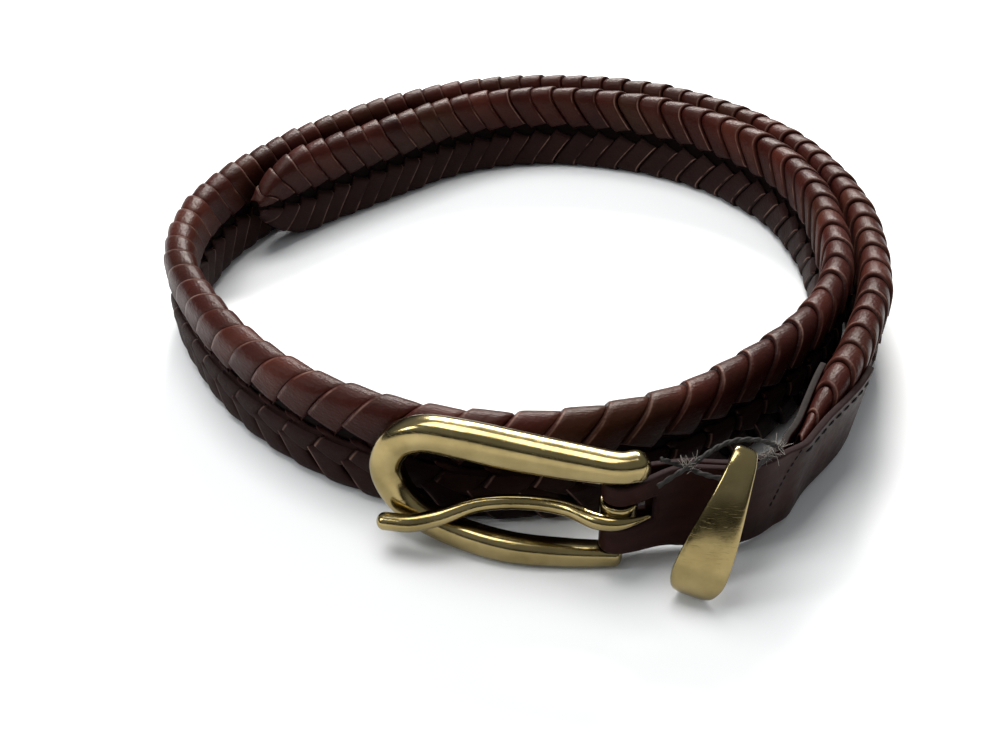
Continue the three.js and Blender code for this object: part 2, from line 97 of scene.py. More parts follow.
class Table:
    """A short table of numbers with named columns, read between its rows."""

    def __init__(self, **columns: Sequence[float]) -> None:
        """Keeps the columns.

        Args:
            columns: the numbers of each column, by its name.
        """
        self.columns = {name: np.array(values, float) for name, values in columns.items()}

    def read(self, column: str, key: str, place: np.ndarray | float) -> np.ndarray:
        """Reads a column straight between its rows.

        Args:
            column: the column to read.
            key: the column that place is given in, which rises from row to row.
            place: where to read.

        Returns:
            The values, held at the first and last row beyond them.
        """
        return np.interp(place, self.columns[key], self.columns[column])

    def smooth(self, column: str, share: np.ndarray, endless: bool = False) -> np.ndarray:
        """Reads a column along a smooth curve through its rows.

        Args:
            column: the column to read.
            share: places from 0, the first row, to 1, the last, with the rows spaced evenly.
            endless: whether the rows go round, and 1 is the first row again.

        Returns:
            The values.
        """
        values = self.columns[column]
        if endless:
            padded = np.concatenate([values[-1:], values, values[:2]])
            values = padded[1:-1]
        else:
            padded = np.concatenate([[2 * values[0] - values[1]], values, [2 * values[-1] - values[-2]]])
        place = np.clip(np.asarray(share, float), 0, 1) * (len(values) - 1)
        row = np.minimum(place.astype(int), len(values) - 2)
        t = place - row
        before, here, after, beyond = (padded[row + i] for i in range(4))
        return here + 0.5 * t * (
            after - before
            + t * (2 * before - 5 * here + 4 * after - beyond + t * (3 * (here - after) + beyond - before))
        )

    def __getitem__(self, column: str) -> np.ndarray:
        """Gives a whole column."""
        return self.columns[column]


def smoothstep(place: np.ndarray | float, start: float, end: float) -> np.ndarray:
    """Rises smoothly from 0 at start to 1 at end."""
    share = np.clip((np.asarray(place, float) - start) / (end - start), 0, 1)
    return share * share * (3 - 2 * share)


def mix(a: float, b: float, share: np.ndarray | float) -> np.ndarray:
    """Goes from a to b as share goes from 0 to 1."""
    return a + (b - a) * np.asarray(share, float)


def unit(vectors: np.ndarray) -> np.ndarray:
    """Scales vectors to length 1."""
    return vectors / np.maximum(np.linalg.norm(vectors, axis=-1, keepdims=True), TINY)


def catmull(points: np.ndarray, per_span: int, endless: bool = False) -> np.ndarray:
    """Samples a centripetal curve through points.

    Args:
        points: the points, one a row.
        per_span: samples from one point to the next.
        endless: whether the curve closes on itself.

    Returns:
        The samples, one a row.
    """
    count = len(points)
    t = (np.arange(per_span) / per_span)[:, None]
    samples = []
    for i in range(count if endless else count - 1):
        here, after = points[i], points[(i + 1) % count]
        before = points[i - 1] if endless or i > 0 else 2 * here - after
        beyond = points[(i + 2) % count] if endless or i + 2 < count else 2 * after - here
        spans = ((before, here), (here, after), (after, beyond))
        gaps = [math.sqrt(np.linalg.norm(b - a)) for a, b in spans]
        step = after - here
        leave = ((here - before) / gaps[0] - (after - before) / (gaps[0] + gaps[1])) * gaps[1] + step
        reach = ((beyond - after) / gaps[2] - (beyond - here) / (gaps[1] + gaps[2])) * gaps[1] + step
        square = 3 * step - 2 * leave - reach
        cube = leave + reach - 2 * step
        samples.append(here + t * (leave + t * (square + t * cube)))
    if not endless:
        samples.append(points[-1:])
    return np.concatenate(samples)


def travelled(points: np.ndarray) -> np.ndarray:
    """Gives the distance along a line of points to each of them."""
    return np.concatenate([[0], np.cumsum(np.linalg.norm(np.diff(points, axis=0), axis=1))])


@dataclass
class Surface:
    """Points, faces and a place on the skin for each corner, on the way to a mesh."""

    points: np.ndarray
    faces: list[tuple[int, ...]]
    places: list[tuple[float, float]]

    @staticmethod
    def loft(rings: np.ndarray, endless: bool = False) -> Surface:
        """Joins rings of points into a closed skin.

        Args:
            rings: the rings, each with as many points as the others.
            endless: whether the last ring joins the first, instead of both being capped.

        Returns:
            The skin, whose places run along the rings first and round them second.
        """
        count, sides = rings.shape[:2]
        points = rings.reshape(-1, 3)
        faces, places = [], []
        for i in range(count if endless else count - 1):
            for j in range(sides):
                k, below = (j + 1) % sides, ((i + 1) % count) * sides
                faces.append((i * sides + j, below + j, below + k, i * sides + k))
                u, v = (i / count, (i + 1) / count), (j / sides, (j + 1) / sides)
                places += [(u[0], v[0]), (u[1], v[0]), (u[1], v[1]), (u[0], v[1])]
        if not endless:
            for ring, turned in ((0, False), (count - 1, True)):
                centre = len(points)
                points = np.vstack([points, points[ring * sides:(ring + 1) * sides].mean(0)])
                for j in range(sides):
                    a, b = ring * sides + j, ring * sides + (j + 1) % sides
                    faces.append((b, a, centre) if turned else (a, b, centre))
                    places += [(ring / count, j / sides)] * 3
        return Surface(points, faces, places)

    @staticmethod
    def join(parts: Sequence[Surface]) -> Surface:
        """Puts several skins into one.

        Args:
            parts: the skins.

        Returns:
            One skin that holds them all.
        """
        points, faces, places = [], [], []
        start = 0
        for part in parts:
            points.append(part.points)
            faces += [tuple(i + start for i in face) for face in part.faces]
            places += part.places
            start += len(part.points)
        return Surface(np.concatenate(points), faces, places)

    def object(self, name: str, materials: Sequence[bpy.types.Material] = ()) -> bpy.types.Object:
        """Makes the mesh object.

        Args:
            name: the object's name.
            materials: its materials, in order.

        Returns:
            The object, linked into the scene, with its faces pointing out.
        """
        mesh = bpy.data.meshes.new(name)
        mesh.from_pydata(self.points.tolist(), [], self.faces)
        layer = mesh.uv_layers.new(name="skin")
        layer.data.foreach_set("uv", np.array(self.places, np.float32).ravel())
        for material in materials:
            mesh.materials.append(material)
        made = bpy.data.objects.new(name, mesh)
        bpy.context.scene.collection.objects.link(made)
        face_out(mesh)
        mesh.shade_smooth()
        return made


def mesh_points(mesh: bpy.types.Mesh) -> np.ndarray:
    """Gives a mesh's vertices.

    Args:
        mesh: the mesh.

    Returns:
        The vertices, one a row.
    """
    points = np.empty(len(mesh.vertices) * 3, np.float32)
    mesh.vertices.foreach_get("co", points)
    return points.reshape(-1, 3).astype(float)


def set_mesh_points(mesh: bpy.types.Mesh, points: np.ndarray) -> None:
    """Moves a mesh's vertices to the rows given."""
    mesh.vertices.foreach_set("co", points.astype(np.float32).ravel())
    mesh.update()


def face_out(mesh: bpy.types.Mesh) -> None:
    """Turns a closed mesh's faces outwards if its volume says that they point in.

    Args:
        mesh: the mesh.
    """
    mesh.calc_loop_triangles()
    corners = np.empty(len(mesh.loop_triangles) * 3, np.int32)
    mesh.loop_triangles.foreach_get("vertices", corners)
    a, b, c = mesh_points(mesh)[corners.reshape(-1, 3)].transpose(1, 0, 2)
    if np.einsum("ij,ij->i", a, np.cross(b, c)).sum() < 0:
        mesh.flip_normals()
        mesh.update()


def baked(source: bpy.types.Object, name: str) -> bpy.types.Object:
    """Turns an object with live modifiers into a plain mesh object, and removes the source.

    Args:
        source: the object with its modifiers.
        name: the new object's name.

    Returns:
        The plain object.
    """
    graph = bpy.context.evaluated_depsgraph_get()
    mesh = bpy.data.meshes.new_from_object(source.evaluated_get(graph))
    mesh.name = name
    bpy.data.objects.remove(source)
    made = bpy.data.objects.new(name, mesh)
    bpy.context.scene.collection.objects.link(made)
    return made


def settle(piece: bpy.types.Object, body: Body, slot: Slot, *nodes: str) -> None:
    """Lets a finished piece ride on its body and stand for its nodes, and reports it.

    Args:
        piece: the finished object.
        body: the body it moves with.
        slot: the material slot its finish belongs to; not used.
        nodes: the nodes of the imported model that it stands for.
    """
    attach(piece, body.value)
    if nodes:
        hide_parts(*nodes)
    log.info("%s: %d faces on %s", piece.name, len(piece.data.polygons), body.value)


# Shader helpers


@dataclass(frozen=True)
class Grain:
    """One layer of noise, and how it dents the surface where it is used as a bump."""

    scale: float  # cells in a metre, or in a unit of the stretched coordinates
    detail: float = 4
    rough: float = 0.55
    strength: float = 0.0
    depth: float = 0.0
    stretch: tuple[float, float, float] = (1, 1, 1)
    source: str = "Object"  # the object's own metres, or UV for the place on the skin


class Shader:
    """Builds one material's nodes, a line for each."""

    def __init__(self, name: str) -> None:
        """Starts a material with an empty tree and its shader.

        Args:
            name: the material's name.
        """
        self.material = bpy.data.materials.new(name)
        self.material.use_nodes = True
        self.tree = self.material.node_tree
        self.surface = self.tree.nodes["Principled BSDF"]
        self.coordinates = self.tree.nodes.new("ShaderNodeTexCoord")

    def node(self, kind: str, **settings: object) -> bpy.types.Node:
        """Adds a node.

        Args:
            kind: the node's type without its prefix.
            settings: its properties.

        Returns:
            The node.
        """
        made = self.tree.nodes.new("ShaderNode" + kind)
        for name, value in settings.items():
            setattr(made, name, value)
        return made

    def link(self, source: bpy.types.NodeSocket, target: bpy.types.NodeSocket) -> None:
        """Joins two sockets."""
        self.tree.links.new(source, target)

    def feed(self, target: bpy.types.NodeSocket, value: object) -> None:
        """Gives a socket a constant or joins another socket to it.

        Args:
            target: the socket.
            value: the constant or the other socket.
        """
        if isinstance(value, bpy.types.NodeSocket):
            self.link(value, target)
        else:
            target.default_value = value

    def grain(self, grain: Grain) -> bpy.types.NodeSocket:
        """Adds a layer of noise.

        Args:
            grain: the layer.

        Returns:
            The socket of its value.
        """
        where = self.node("Mapping")
        where.inputs["Scale"].default_value = grain.stretch
        self.link(self.coordinates.outputs[grain.source], where.inputs["Vector"])
        made = self.node("TexNoise")
        self.link(where.outputs["Vector"], made.inputs["Vector"])
        made.inputs["Scale"].default_value = grain.scale
        made.inputs["Detail"].default_value = grain.detail
        made.inputs["Roughness"].default_value = grain.rough
        return made.outputs["Fac"]

    def attribute(self, name: str) -> bpy.types.NodeSocket:
        """Gives the value of one of the mesh's own attributes."""
        return self.node("Attribute", attribute_name=name).outputs["Fac"]

    def axis(self, name: str, source: str = "UV") -> bpy.types.NodeSocket:
        """Gives one coordinate.

        Args:
            name: the axis, X, Y or Z.
            source: UV for the place on the skin, or Object for the object's own metres.

        Returns:
            The coordinate's socket.
        """
        split = self.node("SeparateXYZ")
        self.link(self.coordinates.outputs[source], split.inputs[0])
        return split.outputs[name]

    def math(self, operation: str, a: object, b: object = 0.0) -> bpy.types.NodeSocket:
        """Adds a sum of two values.

        Args:
            operation: which sum.
            a: the first constant or socket.
            b: the second constant or socket.

        Returns:
            The result's socket.
        """
        made = self.node("Math", operation=operation)
        self.feed(made.inputs[0], a)
        self.feed(made.inputs[1], b)
        return made.outputs[0]

    def ramp(self, value: bpy.types.NodeSocket, *stops: tuple[float, Colour]) -> bpy.types.NodeSocket:
        """Turns a value into a colour.

        Args:
            value: the value, from 0 to 1.
            stops: pairs of a place and a colour.

        Returns:
            The colour's socket.
        """
        made = self.node("ValToRGB")
        elements = made.color_ramp.elements
        while len(elements) < len(stops):
            elements.new(0.5)
        for element, (place, colour) in zip(elements, stops):
            element.position = place
            element.color = (*colour, 1)
        self.link(value, made.inputs[0])
        return made.outputs[0]

    def greys(self, value: bpy.types.NodeSocket, *stops: tuple[float, float]) -> bpy.types.NodeSocket:
        """Turns a value into a grey, by pairs of a place and a grey."""
        return self.ramp(value, *((place, (grey, grey, grey)) for place, grey in stops))

    def rise(self, value: bpy.types.NodeSocket, span: Span, most: float = 1.0) -> bpy.types.NodeSocket:
        """Rises from 0 at the start of a span to most at its end."""
        return self.greys(value, (span[0], 0.0), (span[1], most))

    def blend(self, share: object, a: object, b: object) -> bpy.types.NodeSocket:
        """Mixes two colours.

        Args:
            share: how much of the second, a constant or a socket.
            a: the first colour or its socket.
            b: the second colour or its socket.

        Returns:
            The mixed colour's socket.
        """
        made = self.node("Mix", data_type="RGBA")
        self.feed(made.inputs["Factor"], share)
        # A Mix node's colours are its inputs 6 and 7 and its output 2.
        for slot, colour in ((6, a), (7, b)):
            joined = isinstance(colour, bpy.types.NodeSocket)
            self.feed(made.inputs[slot], colour if joined else (*colour, 1))
        return made.outputs[2]

    def spread(self, value: bpy.types.NodeSocket, to: Span, span: Span = (0, 1),
               form: str = "LINEAR") -> bpy.types.NodeSocket:
        """Stretches a value from one span to another.

        Args:
            value: the value.
            to: what the start and the end of the span become.
            span: the span that is stretched.
            form: LINEAR, or SMOOTHSTEP for soft ends.

        Returns:
            The result's socket.
        """
        made = self.node("MapRange", interpolation_type=form)
        for name, limit in zip(("From Min", "From Max", "To Min", "To Max"), (*span, *to)):
            made.inputs[name].default_value = limit
        self.link(value, made.inputs["Value"])
        return made.outputs["Result"]

    def bumps(self, *layers: tuple[bpy.types.NodeSocket, Grain]) -> None:
        """Lays bump over bump.

        Args:
            layers: pairs of a height's socket and the grain that gives its strength and depth.
        """
        normal = None
        for height, grain in layers:
            bump = self.node("Bump")
            bump.inputs["Strength"].default_value = grain.strength
            bump.inputs["Distance"].default_value = grain.depth
            self.link(height, bump.inputs["Height"])
            if normal is not None:
                self.link(normal, bump.inputs["Normal"])
            normal = bump.outputs["Normal"]
        self.link(normal, self.surface.inputs["Normal"])

    def set(self, **values: object) -> None:
        """Gives the shader's sockets their constants or joins; underscores stand for spaces."""
        for name, value in values.items():
            self.feed(self.surface.inputs[name.replace("_", " ")], value)


@dataclass(frozen=True)
class StrandLeather:
    """Glossy red-brown braid leather, each strand a little different, with painted shade low down and in the
    gaps.
    """

    dark: Colour = (0.013, 0.0026, 0.0020)
    warm: Colour = (0.039, 0.0074, 0.0049)
    worn: Colour = (0.090, 0.0225, 0.0135)
    shades: tuple[float, float, float] = (0.12, 0.55, 0.95)  # where dark, warm and worn are full
    strand_share: float = 0.26  # how much a strand's own shade counts
    patch_share: float = 0.78  # how much the patches count
    patches: Grain = Grain(45, 3)
    olive: Colour = (0.034, 0.0135, 0.0062)
    olive_share: float = 0.6
    olive_span: Span = (0.5, 0.68)
    stains: Grain = Grain(28, 2)
    # painted shade: deep darkens the strands' sides where they dive into the gaps between strands
    deep: Colour = (0.0025, 0.0006, 0.0005)
    edge: float = 0.014  # share of a strand's width, at each side, that gets painted shade where it dives into the gaps
    painted_gap_shade_strength: float = 0.55
    # painted shade: a darker colour laid over the strands' lower faces, by height
    painted_shade: Colour = (0.010, 0.0038, 0.0034)
    painted_shade_heights: Span = (13 * MM, 31 * MM)  # painted shade: the faces darken towards the bottom, below the upper edge
    painted_shade_strength: float = 0.88
    low_roughness: float = 0.3
    scuff: Colour = (0.17, 0.095, 0.072)
    scuff_band: tuple[tuple[float, float], ...] = ((0.03, 0.0), (0.055, 1.0), (0.075, 1.0), (0.11, 0.0))
    scuff_span: Span = (0.42, 0.62)
    scuff_share: float = 0.9
    scuffs: Grain = Grain(130, 3)
    shine: Grain = Grain(160, 3)
    roughness: Span = (0.2, 0.4)
    grain_roughness: float = 0.16
    wrinkles: Grain = Grain(1.6, 3, 0.5, 0.3, 0.5 * MM, (3, 26, 1), "UV")
    creases: Grain = Grain(380, 4, 0.7, 0.3, 0.7 * MM)
    grain: Grain = Grain(1500, 3, 0.6, 0.42, 0.16 * MM)
    pores: Grain = Grain(4200, 2, 0.5, 0.2, 0.05 * MM)
    specular: float = 0.11
    tint: Colour = (1.0, 0.86, 0.78)

    def material(self) -> bpy.types.Material:
        """Builds the material."""
        s = Shader("strand_leather")
        grain = s.grain(self.grain)
        own = s.math("MULTIPLY", s.attribute("shade"), self.strand_share)
        shade = s.math("ADD", own, s.math("MULTIPLY", s.grain(self.patches), self.patch_share))
        body = s.ramp(shade, *zip(self.shades, (self.dark, self.warm, self.worn)))
        body = s.blend(s.rise(s.grain(self.stains), self.olive_span, self.olive_share), body, self.olive)
        # painted shade: the colour darkens towards the bottom of the strap, by height
        low = s.spread(s.axis("Z", "Object"), (self.painted_shade_strength, 0.0), self.painted_shade_heights, "SMOOTHSTEP")
        body = s.blend(low, body, self.painted_shade)
        # painted shade: each strand's two sides darken towards deep, where they dive between the strands
        off_middle = s.math("ABSOLUTE", s.math("SUBTRACT", s.axis("X"), 0.5))
        body = s.blend(s.rise(off_middle, (0.5 - self.edge, 0.5), self.painted_gap_shade_strength), body, self.deep)
        rubbed = s.rise(s.grain(self.scuffs), self.scuff_span, self.scuff_share)
        scuffed = s.math("MULTIPLY", s.greys(s.axis("X"), *self.scuff_band), rubbed)
        s.set(Base_Color=s.blend(scuffed, body, self.scuff))
        gloss = s.spread(s.grain(self.shine), self.roughness)
        gloss = s.math("ADD", gloss, s.spread(grain, (0.0, self.grain_roughness)))
        s.set(Roughness=s.math("ADD", gloss, s.math("MULTIPLY", low, self.low_roughness)))
        s.bumps(
            (s.grain(self.wrinkles), self.wrinkles), (s.grain(self.creases), self.creases),
            (grain, self.grain), (s.grain(self.pores), self.pores),
        )
        s.set(Specular_IOR_Level=self.specular, Specular_Tint=(*self.tint, 1))
        return s.material


@dataclass(frozen=True)
class CorePaintedShade:
    """Leather deep between the strands, painted nearly black as the shade there."""

    # painted shade: both colours are nearly black to stand for the shade between the strands
    colour: Colour = (0.0025, 0.0009, 0.0008)
    light: Colour = (0.0050, 0.0018, 0.0016)
    patches: Grain = Grain(220)
    shine: Grain = Grain(400)
    roughness: Span = (0.6, 0.85)
    grain: Grain = Grain(900, strength=0.3, depth=0.2 * MM)
    specular: float = 0.04

    def material(self) -> bpy.types.Material:
        """Builds the material."""
        s = Shader("core_painted_shade")
        s.set(Base_Color=s.blend(s.grain(self.patches), self.colour, self.light))
        s.set(Roughness=s.spread(s.grain(self.shine), self.roughness), Specular_IOR_Level=self.specular)
        s.bumps((s.grain(self.grain), self.grain))
        return s.material


@dataclass(frozen=True)
class ChapeLeather:
    """Satin purple-brown leather of the folded tab."""

    dark: Colour = (0.008, 0.0018, 0.0014)
    light: Colour = (0.021, 0.0056, 0.0040)
    sheen: Colour = (0.038, 0.0150, 0.0115)
    shades: tuple[float, float, float] = (0.3, 0.56, 0.8)  # where dark, light and sheen are full
    streaks: Grain = Grain(1, 4, 0.6, stretch=(60, 60, 260))
    streak_share: float = 0.45
    patches: Grain = Grain(70)
    patch_share: float = 0.55
    shine: Grain = Grain(260)
    roughness: Span = (0.3, 0.6)
    creases: Grain = Grain(700, strength=0.25, depth=0.16 * MM)
    cells: Grain = Grain(1500, strength=0.16, depth=0.05 * MM)
    cell_gap: Span = (0.0, 0.12)
    specular: float = 0.07
    tint: Colour = (1.0, 0.88, 0.82)

    def material(self) -> bpy.types.Material:
        """Builds the material."""
        s = Shader("chape_leather")
        cells = s.node("TexVoronoi", feature="DISTANCE_TO_EDGE")
        s.link(s.coordinates.outputs["Object"], cells.inputs["Vector"])
        cells.inputs["Scale"].default_value = self.cells.scale
        streaks = s.math("MULTIPLY", s.grain(self.streaks), self.streak_share)
        shade = s.math("ADD", streaks, s.math("MULTIPLY", s.grain(self.patches), self.patch_share))
        s.set(Base_Color=s.ramp(shade, *zip(self.shades, (self.dark, self.light, self.sheen))))
        s.set(Roughness=s.spread(s.grain(self.shine), self.roughness))
        walls = s.rise(cells.outputs["Distance"], self.cell_gap)
        s.bumps((s.grain(self.creases), self.creases), (walls, self.cells))
        s.set(Specular_IOR_Level=self.specular, Specular_Tint=(*self.tint, 1))
        return s.material


@dataclass(frozen=True)
class CutEdge:
    """Fibrous cut edge of the chape, dark but for the upper edge at its two ends."""

    burnished: Colour = (0.022, 0.010, 0.010)
    dim: Colour = (0.0080, 0.0064, 0.0058)
    pale: Colour = (0.040, 0.032, 0.029)
    upper: Span = (0.3, 0.6)  # share of the way up where the edge may turn pale
    pale_along: tuple[tuple[float, float], ...] = ((0.0, 0.6), (0.05, 0.12), (0.68, 0.1), (0.78, 1.0))
    fibres: Grain = Grain(1, 4, 0.7, 0.5, 0.3 * MM, (500, 500, 2600))
    speckle: Grain = Grain(1400, 3, 0.6, 0.4, 0.15 * MM)
    roughness: Span = (0.55, 0.9)
    specular: float = 0.08

    def material(self) -> bpy.types.Material:
        """Builds the material."""
        s = Shader("cut_edge")
        fibres, speckle = s.grain(self.fibres), s.grain(self.speckle)
        fresh = s.math("MULTIPLY", s.rise(s.axis("Y"), self.upper), s.greys(s.axis("X"), *self.pale_along))
        s.set(Base_Color=s.blend(fresh, self.burnished, s.blend(fibres, self.dim, self.pale)))
        s.set(Roughness=s.spread(speckle, self.roughness), Specular_IOR_Level=self.specular)
        s.bumps((fibres, self.fibres), (speckle, self.speckle))
        return s.material


@dataclass(frozen=True)
class Brass:
    """Polished pale brass with fine scratches and a faint haze."""

    colour: Colour = (0.335, 0.262, 0.120)
    tarnish: Colour = (0.20, 0.152, 0.062)
    haze: Grain = Grain(90)
    haze_span: Span = (0.35, 0.75)
    shine: Grain = Grain(340, 4, 0.6)
    roughness: Span = (0.1, 0.25)
    waves: Grain = Grain(150, strength=0.16, depth=0.4 * MM)
    hairs: Grain = Grain(1, 3, 0.7, 0.16, 0.05 * MM, (260, 260, 5200))
    hair_span: Span = (0.6, 0.7)
    scratches: Grain = Grain(1, 3, 0.7, 0.12, 0.05 * MM, (3800, 900, 320))
    scratch_span: Span = (0.62, 0.72)

    def material(self) -> bpy.types.Material:
        """Builds the material."""
        s = Shader("polished_brass")
        s.set(Base_Color=s.blend(s.rise(s.grain(self.haze), self.haze_span), self.colour, self.tarnish))
        s.set(Roughness=s.spread(s.grain(self.shine), self.roughness), Metallic=1.0)
        s.bumps(
            (s.grain(self.waves), self.waves),
            (s.rise(s.grain(self.hairs), self.hair_span), self.hairs),
            (s.rise(s.grain(self.scratches), self.scratch_span), self.scratches),
        )
        return s.material


@dataclass(frozen=True)
class WaxedThread:
    """Dark waxed thread."""

    name: str = "waxed_thread"
    dark: Colour = (0.008, 0.0072, 0.0068)
    light: Colour = (0.042, 0.038, 0.035)
    fibres: Grain = Grain(4, 3, 0.6, 0.5, 0.1 * MM, (4, 60, 1), "UV")
    shine: Grain = Grain(900)
    roughness: Span = (0.45, 0.7)
    specular: float = 0.15

    @staticmethod
    def seam() -> WaxedThread:
        """Gives the nearly black thread of the chape's seams."""
        return WaxedThread("seam_thread", dark=(0.0012, 0.0008, 0.0007), light=(0.006, 0.0036, 0.0032))

    def material(self) -> bpy.types.Material:
        """Builds the material."""
        s = Shader(self.name)
        fibres = s.grain(self.fibres)
        s.set(Base_Color=s.blend(fibres, self.dark, self.light))
        s.set(Roughness=s.spread(s.grain(self.shine), self.roughness), Specular_IOR_Level=self.specular)
        s.bumps((fibres, self.fibres))
        return s.material


@dataclass(frozen=True)
class PaleFibre:
    """Loose pale leather and thread fibres."""

    colour: Colour = (0.42, 0.37, 0.32)
    dim: Colour = (0.147, 0.1295, 0.112)
    patches: Grain = Grain(700)
    roughness: float = 0.8

    def material(self) -> bpy.types.Material:
        """Builds the material."""
        s = Shader("pale_fibre")
        s.set(Base_Color=s.blend(s.grain(self.patches), self.colour, self.dim), Roughness=self.roughness)
        return s.material


@dataclass(frozen=True)
class PaleFloor:
    """Plain pale floor."""

    colour: Colour = (0.95, 0.95, 0.945)
    light: Colour = (0.97, 0.97, 0.965)
    patches: Grain = Grain(3)
    roughness: float = 0.7

    def material(self) -> bpy.types.Material:
        """Builds the material."""
        s = Shader("pale_floor")
        s.set(Base_Color=s.blend(s.grain(self.patches), self.colour, self.light), Roughness=self.roughness)
        return s.material


# Geometry Nodes


class NodeTree:
    """A Geometry Nodes tree with named inputs."""

    def __init__(self, name: str, **inputs: str) -> None:
        """Starts a tree.

        Args:
            name: the tree's name.
            inputs: the kind of socket of each input, by its name; underscores stand for spaces.
        """
        self.tree = bpy.data.node_groups.new(name, "GeometryNodeTree")
        self.tree.interface.new_socket("Geometry", in_out="INPUT", socket_type="NodeSocketGeometry")
        for key, kind in inputs.items():
            self.tree.interface.new_socket(
                key.replace("_", " "), in_out="INPUT", socket_type="NodeSocket" + kind,
            )
        self.tree.interface.new_socket("Geometry", in_out="OUTPUT", socket_type="NodeSocketGeometry")
        self.start = self.tree.nodes.new("NodeGroupInput")
        self.end = self.tree.nodes.new("NodeGroupOutput")

    def node(self, kind: str, settings: dict[str, object] | None = None, **joins: object) -> bpy.types.Node:
        """Adds a node.

        Args:
            kind: the node's type.
            settings: its properties.
            joins: a constant or a socket for each of its inputs, by name; underscores stand for spaces.

        Returns:
            The node.
        """
        made = self.tree.nodes.new(kind)
        for name, value in (settings or {}).items():
            setattr(made, name, value)
        for name, value in joins.items():
            wanted = name.replace("_", " ")
            socket = next(s for s in made.inputs if s.name == wanted and s.enabled)
            if isinstance(value, bpy.types.NodeSocket):
                self.tree.links.new(value, socket)
            else:
                socket.default_value = value
        return made

    def random(self, kind: str, low: object, high: object, seed: object) -> bpy.types.NodeSocket:
        """Adds a random value.

        Args:
            kind: FLOAT or FLOAT_VECTOR.
            low: the least value, a constant or a socket.
            high: the greatest value, a constant or a socket.
            seed: the seed's socket.

        Returns:
            The value's socket.
        """
        made = self.node("FunctionNodeRandomValue", {"data_type": kind}, Min=low, Max=high, Seed=seed)
        return next(s for s in made.outputs if s.enabled)

    def finish(self, instances: bpy.types.NodeSocket) -> bpy.types.NodeTree:
        """Stores a shade on each copy, makes the copies real and gives them their material.

        Args:
            instances: the copies' socket.

        Returns:
            The finished tree.
        """
        given = self.start.outputs
        stored = self.node(
            "GeometryNodeStoreNamedAttribute", {"data_type": "FLOAT", "domain": "INSTANCE"},
            Geometry=instances, Name="shade", Value=self.random("FLOAT", 0.0, 1.0, given["Seed"]),
        )
        real = self.node("GeometryNodeRealizeInstances", Geometry=stored.outputs["Geometry"])
        dressed = self.node(
            "GeometryNodeSetMaterial", Geometry=real.outputs["Geometry"], Material=given["Finish"],
        )
        self.tree.links.new(dressed.outputs["Geometry"], self.end.inputs["Geometry"])
        return self.tree

    @staticmethod
    def row() -> bpy.types.NodeTree:
        """Repeats the piece along X, one step apart, each copy a little different in height and place.

        Returns:
            The tree.
        """
        t = NodeTree("row_of_pieces", Count="Int", Step="Float", Size_Jitter="Float", Place_Jitter="Float",
                     Seed="Int", Finish="Material")
        given = t.start.outputs
        offset = t.node("ShaderNodeCombineXYZ", X=given["Step"]).outputs[0]
        line = t.node("GeometryNodeMeshLine", {"mode": "OFFSET"}, Count=given["Count"], Offset=offset)
        wobble = t.node("ShaderNodeCombineXYZ", Z=given["Size Jitter"])
        limits = []
        for operation in ("SUBTRACT", "ADD"):
            made = t.node("ShaderNodeVectorMath", {"operation": operation})
            made.inputs[0].default_value = (1, 1, 1)
            t.tree.links.new(wobble.outputs[0], made.inputs[1])
            limits.append(made.outputs[0])
        scale = t.random("FLOAT_VECTOR", *limits, given["Seed"])
        copies = t.node(
            "GeometryNodeInstanceOnPoints",
            Points=line.outputs["Mesh"], Instance=given["Geometry"], Scale=scale,
        )
        back = t.node("ShaderNodeMath", {"operation": "MULTIPLY"})
        t.tree.links.new(given["Place Jitter"], back.inputs[0])
        back.inputs[1].default_value = -1
        shift = t.random("FLOAT", back.outputs[0], given["Place Jitter"], given["Seed"])
        moved = t.node(
            "GeometryNodeTranslateInstances", Instances=copies.outputs["Instances"],
            Translation=t.node("ShaderNodeCombineXYZ", X=shift).outputs[0],
        )
        return t.finish(moved.outputs["Instances"])


